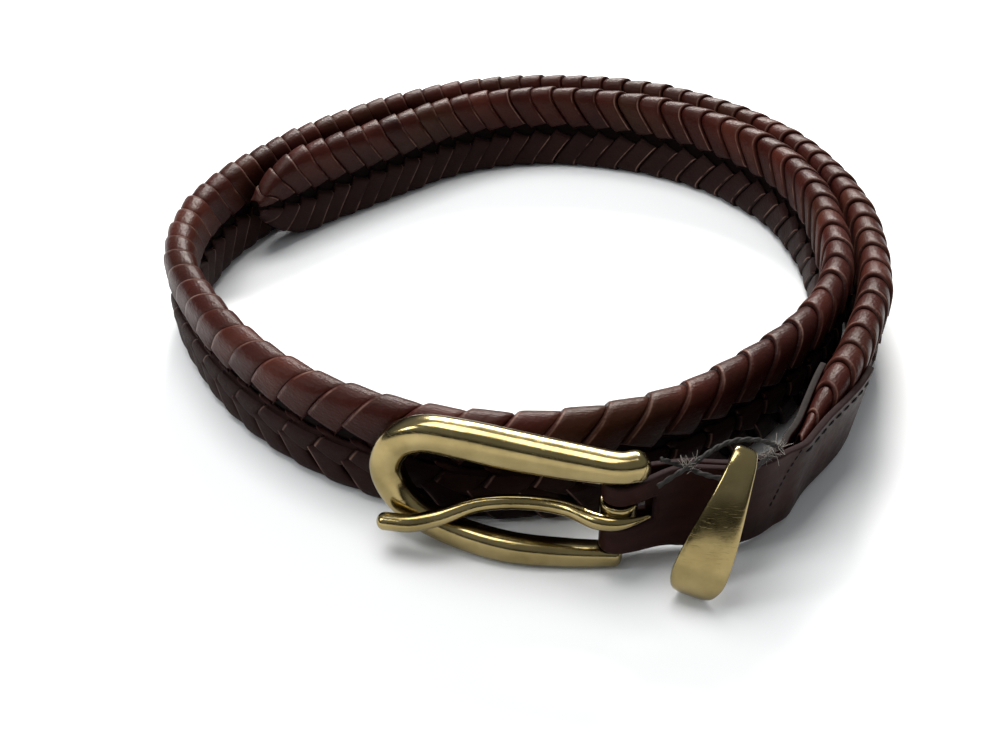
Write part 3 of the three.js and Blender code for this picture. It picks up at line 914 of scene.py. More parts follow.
@dataclass(frozen=True)
class Tuft:
    """Loose bent fibres that stand on points, each turned and sized at random."""

    length: float = 1.9 * MM
    radius: float = 0.05 * MM
    sides: int = 4
    steps: int = 6
    bend: tuple[float, float, float] = (1, 1, 0.6)  # place of the bend, a share of the way up
    most_turn: tuple[float, float, float] = (1.2, 1.2, 3.14)  # about each axis, in radians
    sizes: Span = (0.45, 1.25)
    seed: int = 3

    def tree(self) -> bpy.types.NodeTree:
        """Builds the tree that stands the fibres.

        Returns:
            The tree.
        """
        t = NodeTree("tufts_of_fibre", Length="Float", Radius="Float", Seed="Int", Finish="Material")
        given = t.start.outputs
        up = t.node("ShaderNodeCombineXYZ", Z=given["Length"])
        middle = t.node("ShaderNodeVectorMath", {"operation": "MULTIPLY"})
        t.tree.links.new(up.outputs[0], middle.inputs[0])
        middle.inputs[1].default_value = self.bend
        tip = t.node("ShaderNodeCombineXYZ", X=given["Length"], Z=given["Length"])
        curve = t.node(
            "GeometryNodeCurveQuadraticBezier", Resolution=self.steps, Start=(0, 0, 0),
            Middle=middle.outputs[0], End=tip.outputs[0],
        )
        section = t.node(
            "GeometryNodeCurvePrimitiveCircle", {"mode": "RADIUS"},
            Resolution=self.sides, Radius=given["Radius"],
        )
        tube = t.node(
            "GeometryNodeCurveToMesh", Curve=curve.outputs["Curve"], Profile_Curve=section.outputs["Curve"],
            Fill_Caps=True,
        )
        least_turn = tuple(-angle for angle in self.most_turn)
        copies = t.node(
            "GeometryNodeInstanceOnPoints", Points=given["Geometry"], Instance=tube.outputs["Mesh"],
            Rotation=t.random("FLOAT_VECTOR", least_turn, self.most_turn, given["Seed"]),
            Scale=t.random("FLOAT", *self.sizes, given["Seed"]),
        )
        return t.finish(copies.outputs["Instances"])

    def grow(self, roots: bpy.types.Object, finish: bpy.types.Material) -> bpy.types.Object:
        """Grows the fibres.

        Args:
            roots: the object whose points they stand on; it is removed.
            finish: their material.

        Returns:
            The fibres as a plain mesh.
        """
        return grow(
            roots, self.tree(), "loose_fibres",
            Length=self.length, Radius=self.radius, Seed=self.seed, Finish=finish,
        )


def grow(source: bpy.types.Object, tree: bpy.types.NodeTree, name: str,
         **values: object) -> bpy.types.Object:
    """Runs a node tree on an object and gives the result as a plain mesh.

    Args:
        source: the object that the tree starts from; it is removed.
        tree: the tree.
        name: the new object's name.
        values: the tree's inputs, by name; underscores stand for spaces.

    Returns:
        The plain object.
    """
    modifier = source.modifiers.new(name, "NODES")
    modifier.node_group = tree
    sockets = {s.name: s.identifier for s in tree.interface.items_tree if s.in_out == "INPUT"}
    for key, value in values.items():
        modifier[sockets[key.replace("_", " ")]] = value
    return baked(source, name)


# The coil and the strap that follows it


@dataclass
class Coil:
    """The strap's middle line as it lies coiled, and the sizes that go with it."""

    bar: tuple[float, float, float]  # the buckle bar's place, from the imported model's hinge
    loop_radius: float = 110 * MM
    strap_width: float = 32 * MM
    strap_thickness: float = 9 * MM
    layer_gap: float = 3 * MM
    chape_length: float = 88 * MM
    outer_turn: Table = field(default_factory=lambda: Table(
        bearing=(-81, -75, -67.5, -62, -54, -44, -34, -20, 0, 15, 30, 45, 62, 80,
                 95, 110, 130, 150, 172, 190, 205, 222, 240, 258, 272, 288, 300),
        reach=(1.163, 1.153, 1.195, 1.178, 1.105, 1.048, 1.015, 1.0, 0.998, 1.022, 1.064, 1.1, 1.125, 1.106,
               1.074, 1.022, 0.97, 0.957, 0.985, 0.99, 0.962, 0.957, 0.972, 0.988, 0.982, 0.955, 0.92),
    ))
    inner_turn: Table = field(default_factory=lambda: Table(
        bearing=(322, 342, 360, 375, 390, 405, 420, 440, 455, 467, 480, 495, 508, 517, 523.5),
        gap=(1.9, 0.75, 0.7, 0.45, 0.5, 1, 1.5, 1.55, 1.6, 1.95, 2.8, 2.4, 1.25, 0.7, 0.45),
    ))
    lean: Table = field(default_factory=lambda: Table(
        along=(0.2, 0.45, 0.65, 1, 1.25, 1.6), lean=(0, 0.05, 0.12, 0.12, 0.06, 0),
    ))
    per_span: int = 60
    lengths: np.ndarray = field(init=False)  # distance of each sample from the bar
    places: np.ndarray = field(init=False)
    aheads: np.ndarray = field(init=False)
    shift: np.ndarray = field(init=False)  # from the loop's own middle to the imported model's frame

    def __post_init__(self) -> None:
        """Samples the middle line once."""
        outer, inner = self.outer_turn, self.inner_turn
        within = outer.read("reach", "bearing", inner["bearing"] - 360) * self.loop_radius
        within = within - self.strap_thickness - inner["gap"] * self.layer_gap
        reach = np.concatenate([outer["reach"] * self.loop_radius, within])
        bearing = np.radians(np.concatenate([outer["bearing"], inner["bearing"]]))
        middle = np.stack([reach * np.cos(bearing), reach * np.sin(bearing), 0 * reach], 1)
        places = catmull(middle, self.per_span)
        self.lengths = travelled(places)
        self.aheads = unit(np.gradient(places, self.lengths, axis=0))
        self.shift = np.array([self.bar[0] - places[0, 0], self.bar[1] - places[0, 1], 0])
        self.places = places + self.shift

    @property
    def length(self) -> float:
        """Length of the middle line from the bar to the tip."""
        return float(self.lengths[-1])

    def station(self, distance: np.ndarray) -> tuple[np.ndarray, np.ndarray, np.ndarray]:
        """Finds points of the middle line.

        Args:
            distance: distances from the bar.

        Returns:
            The points, the directions ahead and the outward sides.
        """
        distance = np.asarray(distance, float)
        point = np.stack([np.interp(distance, self.lengths, self.places[:, i]) for i in range(3)], -1)
        ahead = unit(np.stack([np.interp(distance, self.lengths, self.aheads[:, i]) for i in range(3)], -1))
        outward = np.stack([ahead[..., 1], -ahead[..., 0], 0 * distance], -1)
        return point, ahead, outward

    def point(self, distance: np.ndarray, offset: np.ndarray, height: np.ndarray) -> np.ndarray:
        """Finds points off the middle line, leaning over where the chape pulls the strap over.

        Args:
            distance: distances from the bar.
            offset: distances outwards from the middle line.
            height: heights above the surface.

        Returns:
            The points.
        """
        middle, _, outward = self.station(distance)
        lean = self.lean.read("lean", "along", np.asarray(distance) / self.chape_length) * self.strap_width
        shift = offset + lean * (height / self.strap_width - 0.5)
        middle = middle + outward * shift[..., None]
        middle[..., 2] = height
        return middle


@dataclass(frozen=True)
class StrandShape:
    """One strand of the upper or lower half, from the outer groove over the edge to the inner groove."""

    rows: int = 40
    across: tuple[float, ...] = (-0.535, -0.51, -0.45, -0.29, 0.0, 0.27, 0.42, 0.48, 0.505)
    crown: tuple[float, ...] = (-0.5, 0.45, 0.84, 0.97, 1.0, 0.97, 0.84, 0.45, -0.5)
    under: tuple[float, ...] = (0.4, 0.0, -0.4)
    height: float = 1.15 * MM
    depth: float = 1.1 * MM
    tilt: float = -0.85 * MM  # how much the trailing side stands above the leading side
    cut: float = 0.055  # way round where the outer end is cut
    cut_slant: float = 0.11
    point: float = 1.0  # way round where the inner end points
    point_slant: float = 0.07
    risen: Span = (0.05, 0.965)  # shares of its length between which it stands at full height
    outer_width: float = 1.0  # width near the outer end, in pitches
    widening: Span = (0.22, 0.5)  # ways round between which the strand grows to its full width
    path_samples: int = 200
    path: Table = field(default_factory=lambda: Table(
        around=(0, 0.12, 0.25, 0.36, 0.45, 0.55, 0.64, 0.72, 0.85, 1.0),
        along=(0, 0.3, 0.6, 0.87, 1.1, 1.28, 1.27, 1.1, 0.7, 0.2),
    ))

    @staticmethod
    def short() -> StrandShape:
        """Gives the strand that comes down from the groove and is cut above the lower edge's row."""
        return StrandShape(
            rows=16, cut=0.21, cut_slant=-0.12, point=0.01, point_slant=0.0, height=1.35 * MM,
            path=Table(around=(0, 0.1, 0.2, 0.3), along=(0.42, 0.2, 0.0, -0.16)),
        )

    @staticmethod
    def edge() -> StrandShape:
        """Gives the strand that goes under the strap and up its inner side."""
        return StrandShape(rows=36, cut=0.1, cut_slant=0.0, height=0.9 * MM, outer_width=0.74)

    def surface(self) -> Surface:
        """Builds the strand in its own coordinates.

        Returns:
            The strand's skin, in strand pitches, way round the strap, and metres out.
        """
        share = np.linspace(0, 1, self.rows + 1)[:, None]
        across = np.array([*self.across, *self.under])[None, :]
        top = np.array([*self.crown, *[0.0] * len(self.under)])[None, :]
        start = self.cut + self.cut_slant * (0.5 - across)
        end = self.point - self.point_slant * (0.5 - across)
        around = (1 - share) * start + share * end
        dense = np.linspace(0, 1, self.path_samples)
        bend = np.interp(around, self.path.smooth("around", dense), self.path.smooth("along", dense))
        alive = smoothstep(share, 0.0, self.risen[0]) * smoothstep(share, 1.0, self.risen[1])
        out = mix(-self.depth, self.height, alive) * top + self.tilt * across * alive
        below = np.arange(across.shape[1])[None, :] >= len(self.across)
        out = np.where(below, -self.depth, out)
        wide = mix(self.outer_width, 1.0, smoothstep(around, *self.widening))
        rings = np.stack([bend + across * wide, around, out], -1)
        made = Surface.loft(rings)
        made.places = self.corner_places(made, across.ravel())
        return made

    def corner_places(self, made: Surface, across: np.ndarray) -> list[tuple[float, float]]:
        """Gives each corner its place across and along the strand.

        Args:
            made: the strand's skin.
            across: the places of a ring's points across the strand, in pitches.

        Returns:
            The places, from 0 to 1 both ways.
        """
        sides = len(across)
        width = np.append(np.clip(across + 0.5, 0, 1), 0.5)
        places = []
        for face in made.faces:
            for corner in face:
                row, side = divmod(corner, sides)
                column = side if row <= self.rows else sides
                places.append((width[column], min(row, self.rows) / self.rows))
        return places


@dataclass(frozen=True)
class SliverShape:
    """A thin crescent of leather that shows between two rows of strands."""

    path: Table
    width: float  # share of the way round
    height: float
    rows: int = 18
    sides: int = 10
    depth: float = 1.1 * MM
    end_fatness: float = 0.004  # square of the share of the width that is left at the points

    @staticmethod
    def groove() -> SliverShape:
        """Gives the crescent that lies in the outer groove, below an upper strand's cut end."""
        return SliverShape(
            Table(along=(-0.52, -0.34, -0.12, 0.2, 0.68), around=(0.075, 0.02, -0.018, -0.022, -0.008)),
            width=0.062, height=1.0 * MM,
        )

    def surface(self) -> Surface:
        """Builds the sliver in the strands' coordinates.

        Returns:
            The sliver's skin.
        """
        share = np.linspace(0.0, 1.0, self.rows + 1)[:, None]
        turn = np.linspace(0, 2 * math.pi, self.sides, endpoint=False)[None, :]
        fat = np.sqrt(np.clip(4 * share * (1 - share), self.end_fatness, 1))
        along = self.path.smooth("along", share) + 0 * turn
        around = self.path.smooth("around", share) + 0.5 * self.width * fat * np.cos(turn)
        out = np.where(np.sin(turn) > 0, self.height, self.depth) * np.sin(turn) * fat
        return Surface.loft(np.stack([along, around, out], -1))


@dataclass(frozen=True)
class StrandRow:
    """One row of strands along the strap."""

    name: str
    shape: StrandShape | SliverShape
    below: bool  # whether it goes under the strap instead of over it
    ahead: float  # how far it lies ahead of the upper strands, in pitches
    seed: int


@dataclass
class Braid:
    """The braided strap: a core painted nearly black as shade, and the strands that wrap it."""

    coil: Coil
    start: float = 50 * MM
    taper: float = 34 * MM
    end_thickness: float = 0.3
    end_width: float = 0.62
    tip_rounding: float = 27 * MM
    tip_rise: float = 4 * MM
    tip_thickness: float = 0.45
    tip_width: float = 0.2
    tip_fullness: float = 1.8  # this power and the next give the tip its round outline
    tip_bluntness: float = 0.7
    inset: float = 0.95 * MM
    core_inset: float = 1.7 * MM
    core_ahead: float = 2 * MM  # how far past the strands' start the core starts
    core_step: float = 4 * MM
    core_sides: int = 24  # on each half of the core
    core_tip_sections: int = 14
    core_tip_reach: float = 0.995  # share of the tip's rounding
    first: float = -0.6  # place of the first upper strand, in pitches
    size_jitter: float = 0.14
    place_jitter: float = 0.035
    rows: tuple[StrandRow, ...] = (
        StrandRow("upper_strands", StrandShape(), False, 0.0, 11),
        StrandRow("lower_strands", StrandShape.short(), True, 0.36, 23),
        StrandRow("edge_strands", StrandShape.edge(), True, 0.8, 41),
        StrandRow("groove_slivers", SliverShape.groove(), False, 0.6, 37),
    )
    section: Table = field(default_factory=lambda: Table(
        side=(0.7, 0.92, 1.0, 1.0, 0.98, 0.9, 0.7, 0.38, 0,
              -0.38, -0.7, -0.9, -0.98, -1.0, -0.99, -0.93, -0.78),
        rise=(0.0, 0.1, 0.26, 0.5, 0.69, 0.82, 0.92, 0.98, 1,
              0.98, 0.92, 0.82, 0.69, 0.5, 0.27, 0.12, 0.0),
    ))
    section_samples: int = 24  # from one row of the section to the next
    pitch: Table = field(default_factory=lambda: Table(
        along=(0.0, 0.1, 0.22, 0.38, 0.47, 0.58, 0.68, 0.78, 0.9, 1.0),
        pitch=(9.5, 10.0, 8.6, 8.4, 9.6, 11.8, 11.0, 9.8, 8.6, 8.0),
    ))
    pitch_samples: int = 600
    around: np.ndarray = field(init=False)  # way round to each sample of the section's outline
    outline: np.ndarray = field(init=False)
    normal: np.ndarray = field(init=False)
    counts: np.ndarray = field(init=False)  # strands passed at each of the distances
    distances: np.ndarray = field(init=False)

    def __post_init__(self) -> None:
        """Samples the section and the strands' places once."""
        side, rise = self.section["side"], self.section["rise"]
        half = np.stack([side, rise, 0 * rise], 1)
        real = half * [self.coil.strap_thickness / 2, self.coil.strap_width / 2, 0]
        loop = np.concatenate([real, real[-2:0:-1] * [1, -1, 0]])
        dense = catmull(loop, self.section_samples, endless=True)[:, :2]
        self.outline = dense[: self.section_samples * (len(half) - 1) + 1]
        around = travelled(self.outline)
        along = np.gradient(self.outline, around, axis=0)
        self.around = around / around[-1]
        self.normal = np.stack([along[:, 1], -along[:, 0]], 1)
        self.distances = np.linspace(self.start, self.coil.length, self.pitch_samples)
        share = (self.distances - self.start) / (self.coil.length - self.start)
        pitch = self.pitch.read("pitch", "along", share) * MM
        passed = np.diff(self.distances) / (0.5 * (pitch[1:] + pitch[:-1]))
        self.counts = np.concatenate([[0], np.cumsum(passed)])

    def fullness(self, distance: np.ndarray) -> tuple[np.ndarray, np.ndarray]:
        """Gives the shares of the full thickness and width near the two ends.

        Args:
            distance: distances from the bar.

        Returns:
            The shares of the thickness and of the width.
        """
        grown = smoothstep(distance, self.start, self.start + self.taper)
        left = np.maximum(self.coil.length - distance, 0) / self.tip_rounding
        outline = (1 - np.maximum(1 - left, 0) ** self.tip_fullness) ** self.tip_bluntness
        round_end = np.where(left < 1, outline, 1)
        thick = mix(self.end_thickness, 1, grown) * mix(self.tip_thickness, 1, round_end)
        wide = mix(self.end_width, 1, grown) * np.maximum(round_end, self.tip_width)
        return thick, wide

    def skin(self, distance: np.ndarray, around: np.ndarray, out: np.ndarray) -> np.ndarray:
        """Finds points on the strap's skin.

        Args:
            distance: distances from the bar.
            around: ways round, 0 in the outer groove, 1 in the inner one, positive over the top.
            out: distances out of the skin, which lies inside the strap's full section.

        Returns:
            The points.
        """
        thick, wide = self.fullness(distance)
        below = np.sign(around) + (around == 0)
        way = np.clip(np.abs(around), 0, 1)
        side, rise, across, upward = (
            np.interp(way, self.around, values)
            for values in (self.outline[:, 0], self.outline[:, 1], self.normal[:, 0], self.normal[:, 1])
        )
        over = np.minimum(thick, wide)
        half = self.coil.strap_width / 2
        out = (out - self.inset) * over
        offset = side * thick + across * out
        lift = np.where(distance > self.coil.length - self.tip_rounding, self.tip_rise * (1 - wide), 0)
        height = half + lift + below * (rise * wide + upward * out)
        return self.coil.point(distance, offset, np.maximum(height, 0))

    def wrap(self, flat: bpy.types.Object, shift: float, below: bool) -> None:
        """Lays strands built in a straight row onto the strap.

        Args:
            flat: the row's mesh object, in strand pitches, way round and metres out.
            shift: how many pitches ahead it starts.
            below: whether it goes under the strap instead of over it.
        """
        along, around, out = mesh_points(flat.data).T
        distance = np.interp(along + shift, self.counts, self.distances)
        beyond = np.clip(along + shift - self.counts[-1], 0, None)
        around = -around if below else around
        out = np.where(beyond > 0, np.minimum(out, 0), out)
        set_mesh_points(flat.data, self.skin(distance, around, out))
        face_out(flat.data)
        flat.data.shade_smooth()

    def core(self) -> bpy.types.Object:
        """Builds the body that shows between the strands, painted nearly black as shade.

        Returns:
            The body.
        """
        tip_start = self.coil.length - self.tip_rounding
        tip_shares = np.sqrt(np.linspace(0, self.core_tip_reach, self.core_tip_sections))
        distance = np.concatenate([
            np.arange(self.start + self.core_ahead, tip_start, self.core_step),
            self.coil.length - self.tip_rounding * (1 - tip_shares),
        ])
        over = np.linspace(0, 1, self.core_sides + 1)
        way = np.concatenate([over, -over[-2:0:-1]])
        far, near = np.meshgrid(distance, way, indexing="ij")
        rings = self.skin(far, near, 0 * far - self.core_inset + self.inset)
        return Surface.loft(rings).object("strap_core", [CorePaintedShade().material()])

    def build(self) -> None:
        """Builds every piece of the braid."""
        leather = StrandLeather().material()
        repeat = NodeTree.row()
        settle(self.core(), Body.LEATHER, Slot.BRAID, "braided_strap")
        for row in self.rows:
            flat = grow(
                row.shape.surface().object(row.name), repeat, row.name,
                Count=int(self.counts[-1]) + 1, Step=1.0, Size_Jitter=self.size_jitter,
                Place_Jitter=self.place_jitter, Seed=row.seed, Finish=leather,
            )
            self.wrap(flat, self.first + row.ahead, row.below)
            settle(flat, Body.LEATHER, Slot.BRAID)


# The chape


@dataclass(frozen=True)
class Seam:
    """A straight row of stitches on the chape's outer leaf."""

    name: str
    start: tuple[float, float]  # distance from the bar, and drop below the upper edge
    end: tuple[float, float]
    count: int
    radius: float
    fill: float = 0.82  # share of a step that a stitch fills
    sections: int = 9
    sides: int = 8
    end_fatness: float = 0.02  # square of the share of the radius that is left at the ends
    sink: float = 0.5  # how deep the ends lie in the leather, in radii
    arch: float = 0.6  # how far the middle rises, in radii
    size_jitter: float = 0.1
    place_jitter: float = 0.04  # in steps
    seed: int = 5

    def row(self, thread: bpy.types.Material) -> bpy.types.Object:
        """Builds the stitches in a straight row along X.

        Args:
            thread: the thread's material.

        Returns:
            The row, with Z out of the leather.
        """
        step = math.dist(self.start, self.end) / self.count
        share = np.linspace(0, 1, self.sections)[:, None]
        turn = np.linspace(0, 2 * math.pi, self.sides, endpoint=False)[None, :]
        off_middle = 2 * share - 1
        fat = self.radius * np.sqrt(np.clip(1 - off_middle ** 4, self.end_fatness, 1))
        x = (share - 0.5) * self.fill * step + 0 * turn
        y = fat * np.cos(turn)
        z = fat * np.sin(turn) - self.sink * self.radius + self.arch * self.radius * (1 - off_middle ** 2)
        return grow(
            Surface.loft(np.stack([x, y, z], -1)).object(self.name), NodeTree.row(), self.name,
            Count=self.count, Step=step, Size_Jitter=self.size_jitter,
            Place_Jitter=self.place_jitter * step, Seed=self.seed, Finish=thread,
        )


@dataclass(frozen=True)
class Section:
    """One section across the chape."""

    distance: float  # from the bar
    place: Callable[[np.ndarray], np.ndarray]  # turns heights into points
    slotted: bool  # whether the slot crosses it


@dataclass(frozen=True)
class Chape:
    """The folded leather tab round the buckle bar, with its slot and stitching."""

    coil: Coil
    braid: Braid
    inner_leaf: float = 84 * MM
    width: float = 25 * MM
    fold_low: float = 6.5 * MM
    fold_high: float = 26.9 * MM
    thickness: float = 1.8 * MM
    slot_length: float = 9.5 * MM
    slot_height: float = 7.3 * MM
    prong_height: float = 18 * MM
    press_length: float = 16 * MM
    open_length: float = 7 * MM
    open_ahead: float = 1 * MM  # how far before the braid the leaves are open
    fold_radius: float = 3.25 * MM
    seat_gap: float = 0.3 * MM
    rise: Table = field(default_factory=lambda: Table(along=(0.2, 0.5, 1), rise=(0, -0.03, -0.03)))
    step: float = 1.5 * MM
    fold_clear: float = 0.2 * MM  # least distance of an outer section from the fold's first
    fold_sections: int = 15
    columns: int = 9  # below the slot, across it, and above it
    bevel: float = 0.45 * MM
    bevel_steps: int = 3
    sharp: float = math.radians(50)
    seams: tuple[Seam, ...] = (
        Seam("chape_stitches", (49 * MM, 2.6 * MM), (86.8 * MM, 2.6 * MM), 9, 0.42 * MM),
        Seam("chape_cross_stitches", (45.5 * MM, 1.2 * MM), (38.5 * MM, 17 * MM), 9, 0.26 * MM),
    )

    def edges(self, distance: np.ndarray) -> tuple[np.ndarray, np.ndarray]:
        """Gives the chape's two edges.

        Args:
            distance: distances from the bar.

        Returns:
            The heights of the lower and of the upper edge.
        """
        rise = self.rise.read("rise", "along", distance / self.coil.chape_length)
        middle = self.coil.strap_width * (0.5 + rise)
        pressed = np.minimum(distance / self.press_length, 1)
        low = mix(self.fold_low, middle - self.width / 2, pressed)
        high = mix(self.fold_high, middle + self.width / 2, pressed)
        return low, high

    def leaf_offset(self, distance: np.ndarray) -> np.ndarray:
        """Gives how far a leaf lies from the strap's middle line.

        Args:
            distance: distances from the bar.

        Returns:
            The distances to the leaf's middle.
        """
        closed = self.thickness / 2 + self.seat_gap / 2
        near = mix(self.fold_radius, closed, smoothstep(distance, 0, self.press_length))
        thick, _ = self.braid.fullness(np.maximum(distance, self.braid.start))
        far = thick * self.coil.strap_thickness / 2 + self.seat_gap + self.thickness / 2
        start = self.braid.start - self.open_ahead - self.open_length
        return mix(near, far, smoothstep(distance, start, start + self.open_length))

    def leaf_point(self, distance: np.ndarray, height: np.ndarray, side: float,
                   out: np.ndarray | float = 0.0) -> np.ndarray:
        """Finds points of a leaf.

        Args:
            distance: distances from the bar.
            height: heights above the surface.
            side: 1 for the outer leaf, -1 for the inner one.
            out: distance away from the leaf's middle, outwards from the belt.

        Returns:
            The points.
        """
        return self.coil.point(distance, side * (self.leaf_offset(distance) + out), height)

    def sections(self) -> list[Section]:
        """Lists the sections from the outer leaf's end round the bar to the inner leaf's end.

        Returns:
            The sections.
        """
        outer = np.arange(self.coil.chape_length, self.fold_clear, -self.step)
        inner = np.arange(self.step / 2, self.inner_leaf, self.step)
        point, ahead, outward = self.coil.station(np.array(0.0))

        def leaf(distance: float, side: float) -> Section:
            """Gives a section of a leaf."""
            return Section(
                distance, lambda height: self.leaf_point(0 * height + distance, height, side),
                bool(distance < self.slot_length),
            )

        def bend(angle: float) -> Section:
            """Gives a section of the fold."""
            away = point + (outward * math.cos(angle) - ahead * math.sin(angle)) * self.fold_radius
            return Section(0.0, lambda height: away + height[:, None] * UP, True)

        fold = [bend(angle) for angle in np.linspace(0, math.pi, self.fold_sections)]
        return [leaf(d, 1) for d in outer] + fold + [leaf(d, -1) for d in inner]

    def heights(self, distance: float) -> np.ndarray:
        """Gives the heights of a section's points, with the slot's two edges among them.

        Args:
            distance: the section's distance from the bar.

        Returns:
            The heights.
        """
        low, high = (float(edge) for edge in self.edges(np.array(distance)))
        bottom, top = (self.prong_height + side * self.slot_height / 2 for side in (-1, 1))
        return np.concatenate([
            np.linspace(low, bottom, self.columns, endpoint=False),
            np.linspace(bottom, top, self.columns, endpoint=False),
            np.linspace(top, high, self.columns + 1),
        ])

    def sheet(self) -> bpy.types.Object:
        """Builds the leather as one sheet with its slot, given its thickness.

        Returns:
            The sheet, with its modifiers live.
        """
        sections = self.sections()
        points = np.concatenate([s.place(self.heights(s.distance)) for s in sections])
        columns = 3 * self.columns + 1
        faces, places = [], []
        for i in range(len(sections) - 1):
            slotted = sections[i].slotted and sections[i + 1].slotted
            for j in range(columns - 1):
                if slotted and self.columns <= j < 2 * self.columns:
                    continue
                corners = ((i, j), (i + 1, j), (i + 1, j + 1), (i, j + 1))
                faces.append(tuple(a * columns + b for a, b in corners))
                places += [(a / len(sections), b / columns) for a, b in corners]
        used = sorted({i for face in faces for i in face})
        index = {old: new for new, old in enumerate(used)}
        faces = [tuple(index[i] for i in face) for face in faces]
        finishes = [ChapeLeather().material(), CutEdge().material()]
        made = Surface(points[used], faces, places).object("chape_flat", finishes)
        solid = made.modifiers.new("thickness", "SOLIDIFY")
        solid.thickness = self.thickness
        solid.offset = 0
        solid.material_offset_rim = 1
        bevel = made.modifiers.new("edges", "BEVEL")
        bevel.width = self.bevel
        bevel.segments = self.bevel_steps
        bevel.limit_method = "ANGLE"
        return made

    def sew(self, seam: Seam, thread: bpy.types.Material) -> bpy.types.Object:
        """Builds a seam and lays it on the outer leaf.

        Args:
            seam: the seam.
            thread: the thread's material.

        Returns:
            The stitches.
        """
        flat = seam.row(thread)
        way = np.array(seam.end) - np.array(seam.start)
        way /= np.linalg.norm(way)
        along, aside, out = mesh_points(flat.data).T
        distance = seam.start[0] + way[0] * along - way[1] * aside
        drop = seam.start[1] + way[1] * along + way[0] * aside
        _, high = self.edges(distance)
        set_mesh_points(flat.data, self.leaf_point(distance, high - drop, 1, self.thickness / 2 + out))
        face_out(flat.data)
        flat.data.shade_smooth()
        return flat

    def build(self, thread: bpy.types.Material) -> None:
        """Builds every piece of the chape.

        Args:
            thread: the material of its seams.
        """
        piece = baked(self.sheet(), "chape_leather")
        piece.data.shade_smooth()
        piece.data.set_sharp_from_angle(angle=self.sharp)
        settle(piece, Body.LEATHER, Slot.CHAPE, "chape")
        for seam in self.seams:
            settle(self.sew(seam, thread), Body.LEATHER, Slot.THREAD)


# The brass pieces


def superellipse(sides: int, power: float) -> np.ndarray:
    """Gives the unit section of a rod, squarer the higher the power.

    Args:
        sides: how many points.
        power: 2 for a circle.

    Returns:
        The points, across and deep.
    """
    turn = (np.arange(sides) + 0.5) / sides * 2 * math.pi
    return np.stack([np.sign(f) * np.abs(f) ** (2 / power) for f in (np.cos(turn), np.sin(turn))], -1)


@dataclass(frozen=True)
class Rod:
    """A bent rod with rounded ends, given by rows of points and half sizes."""

    points: np.ndarray
    wide: np.ndarray
    deep: np.ndarray
    start_cap: float
    end_cap: float
    sides: int = 40
    per_span: int = 16
    power: float = 2.0
    cap_sections: int = 7

    def surface(self) -> Surface:
        """Builds the rod's skin.

        Returns:
            The skin.
        """
        line = catmull(self.points, self.per_span)
        ahead = unit(np.gradient(line, axis=0))
        share = np.linspace(0, 1, len(line))
        wide = Table(wide=self.wide).smooth("wide", share)
        deep = Table(deep=self.deep).smooth("deep", share)
        scales = np.cos(np.linspace(0, 1, self.cap_sections + 2)[1:-1] * math.pi / 2)

        def cap(end: int, reach: float, sizes: np.ndarray) -> list[np.ndarray]:
            """Gives the sections of a rounded end."""
            beyond = [line[end] + ahead[end] * reach * math.sqrt(1 - size * size) for size in sizes]
            return [self.ring(p, ahead[end], wide[end] * s, deep[end] * s) for p, s in zip(beyond, sizes)]

        rings = cap(0, -self.start_cap, scales[::-1])
        rings += [self.ring(*section) for section in zip(line, ahead, wide, deep)]
        rings += cap(-1, self.end_cap, scales)
        return Surface.loft(np.array(rings))

    def ring(self, point: np.ndarray, ahead: np.ndarray, wide: float, deep: float) -> np.ndarray:
        """Gives one section, its depth nearest to the front.

        Args:
            point: its middle.
            ahead: the rod's direction there.
            wide: half its width.
            deep: half its depth.

        Returns:
            The section's points.
        """
        front = unit(np.array([0, 1, 0]) - ahead * ahead[1])
        side = np.cross(ahead, front)
        section = superellipse(self.sides, self.power)
        return point + section[:, :1] * wide * side + section[:, 1:] * deep * front


def placed(surface: Surface, node: str, swing: float, coil: Coil) -> Surface:
    """Turns a piece built along X at the buckle bar into its place.

    Args:
        surface: the piece, with the bar at the origin and its far end at +X.
        node: the node it stands for, which it has to fit.
        swing: its angle from the line of the chape, in radians.
        coil: the coil.

    Returns:
        The piece in place.
    """
    bar, ahead, _ = coil.station(np.array(0.0))
    angle = math.atan2(-ahead[1], -ahead[0]) + swing
    x = np.array([math.cos(angle), math.sin(angle), 0])
    y = np.array([-math.sin(angle), math.cos(angle), 0])
    points = surface.points
    surface.points = bar + points[:, :1] * x + points[:, 1:2] * y + points[:, 2:] * UP
    low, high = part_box(node)
    far = np.abs(np.array([surface.points.min(0) - low, surface.points.max(0) - high])).max()
    log.info("%s lies within %.2f mm of its node", node, far / MM)
    return surface


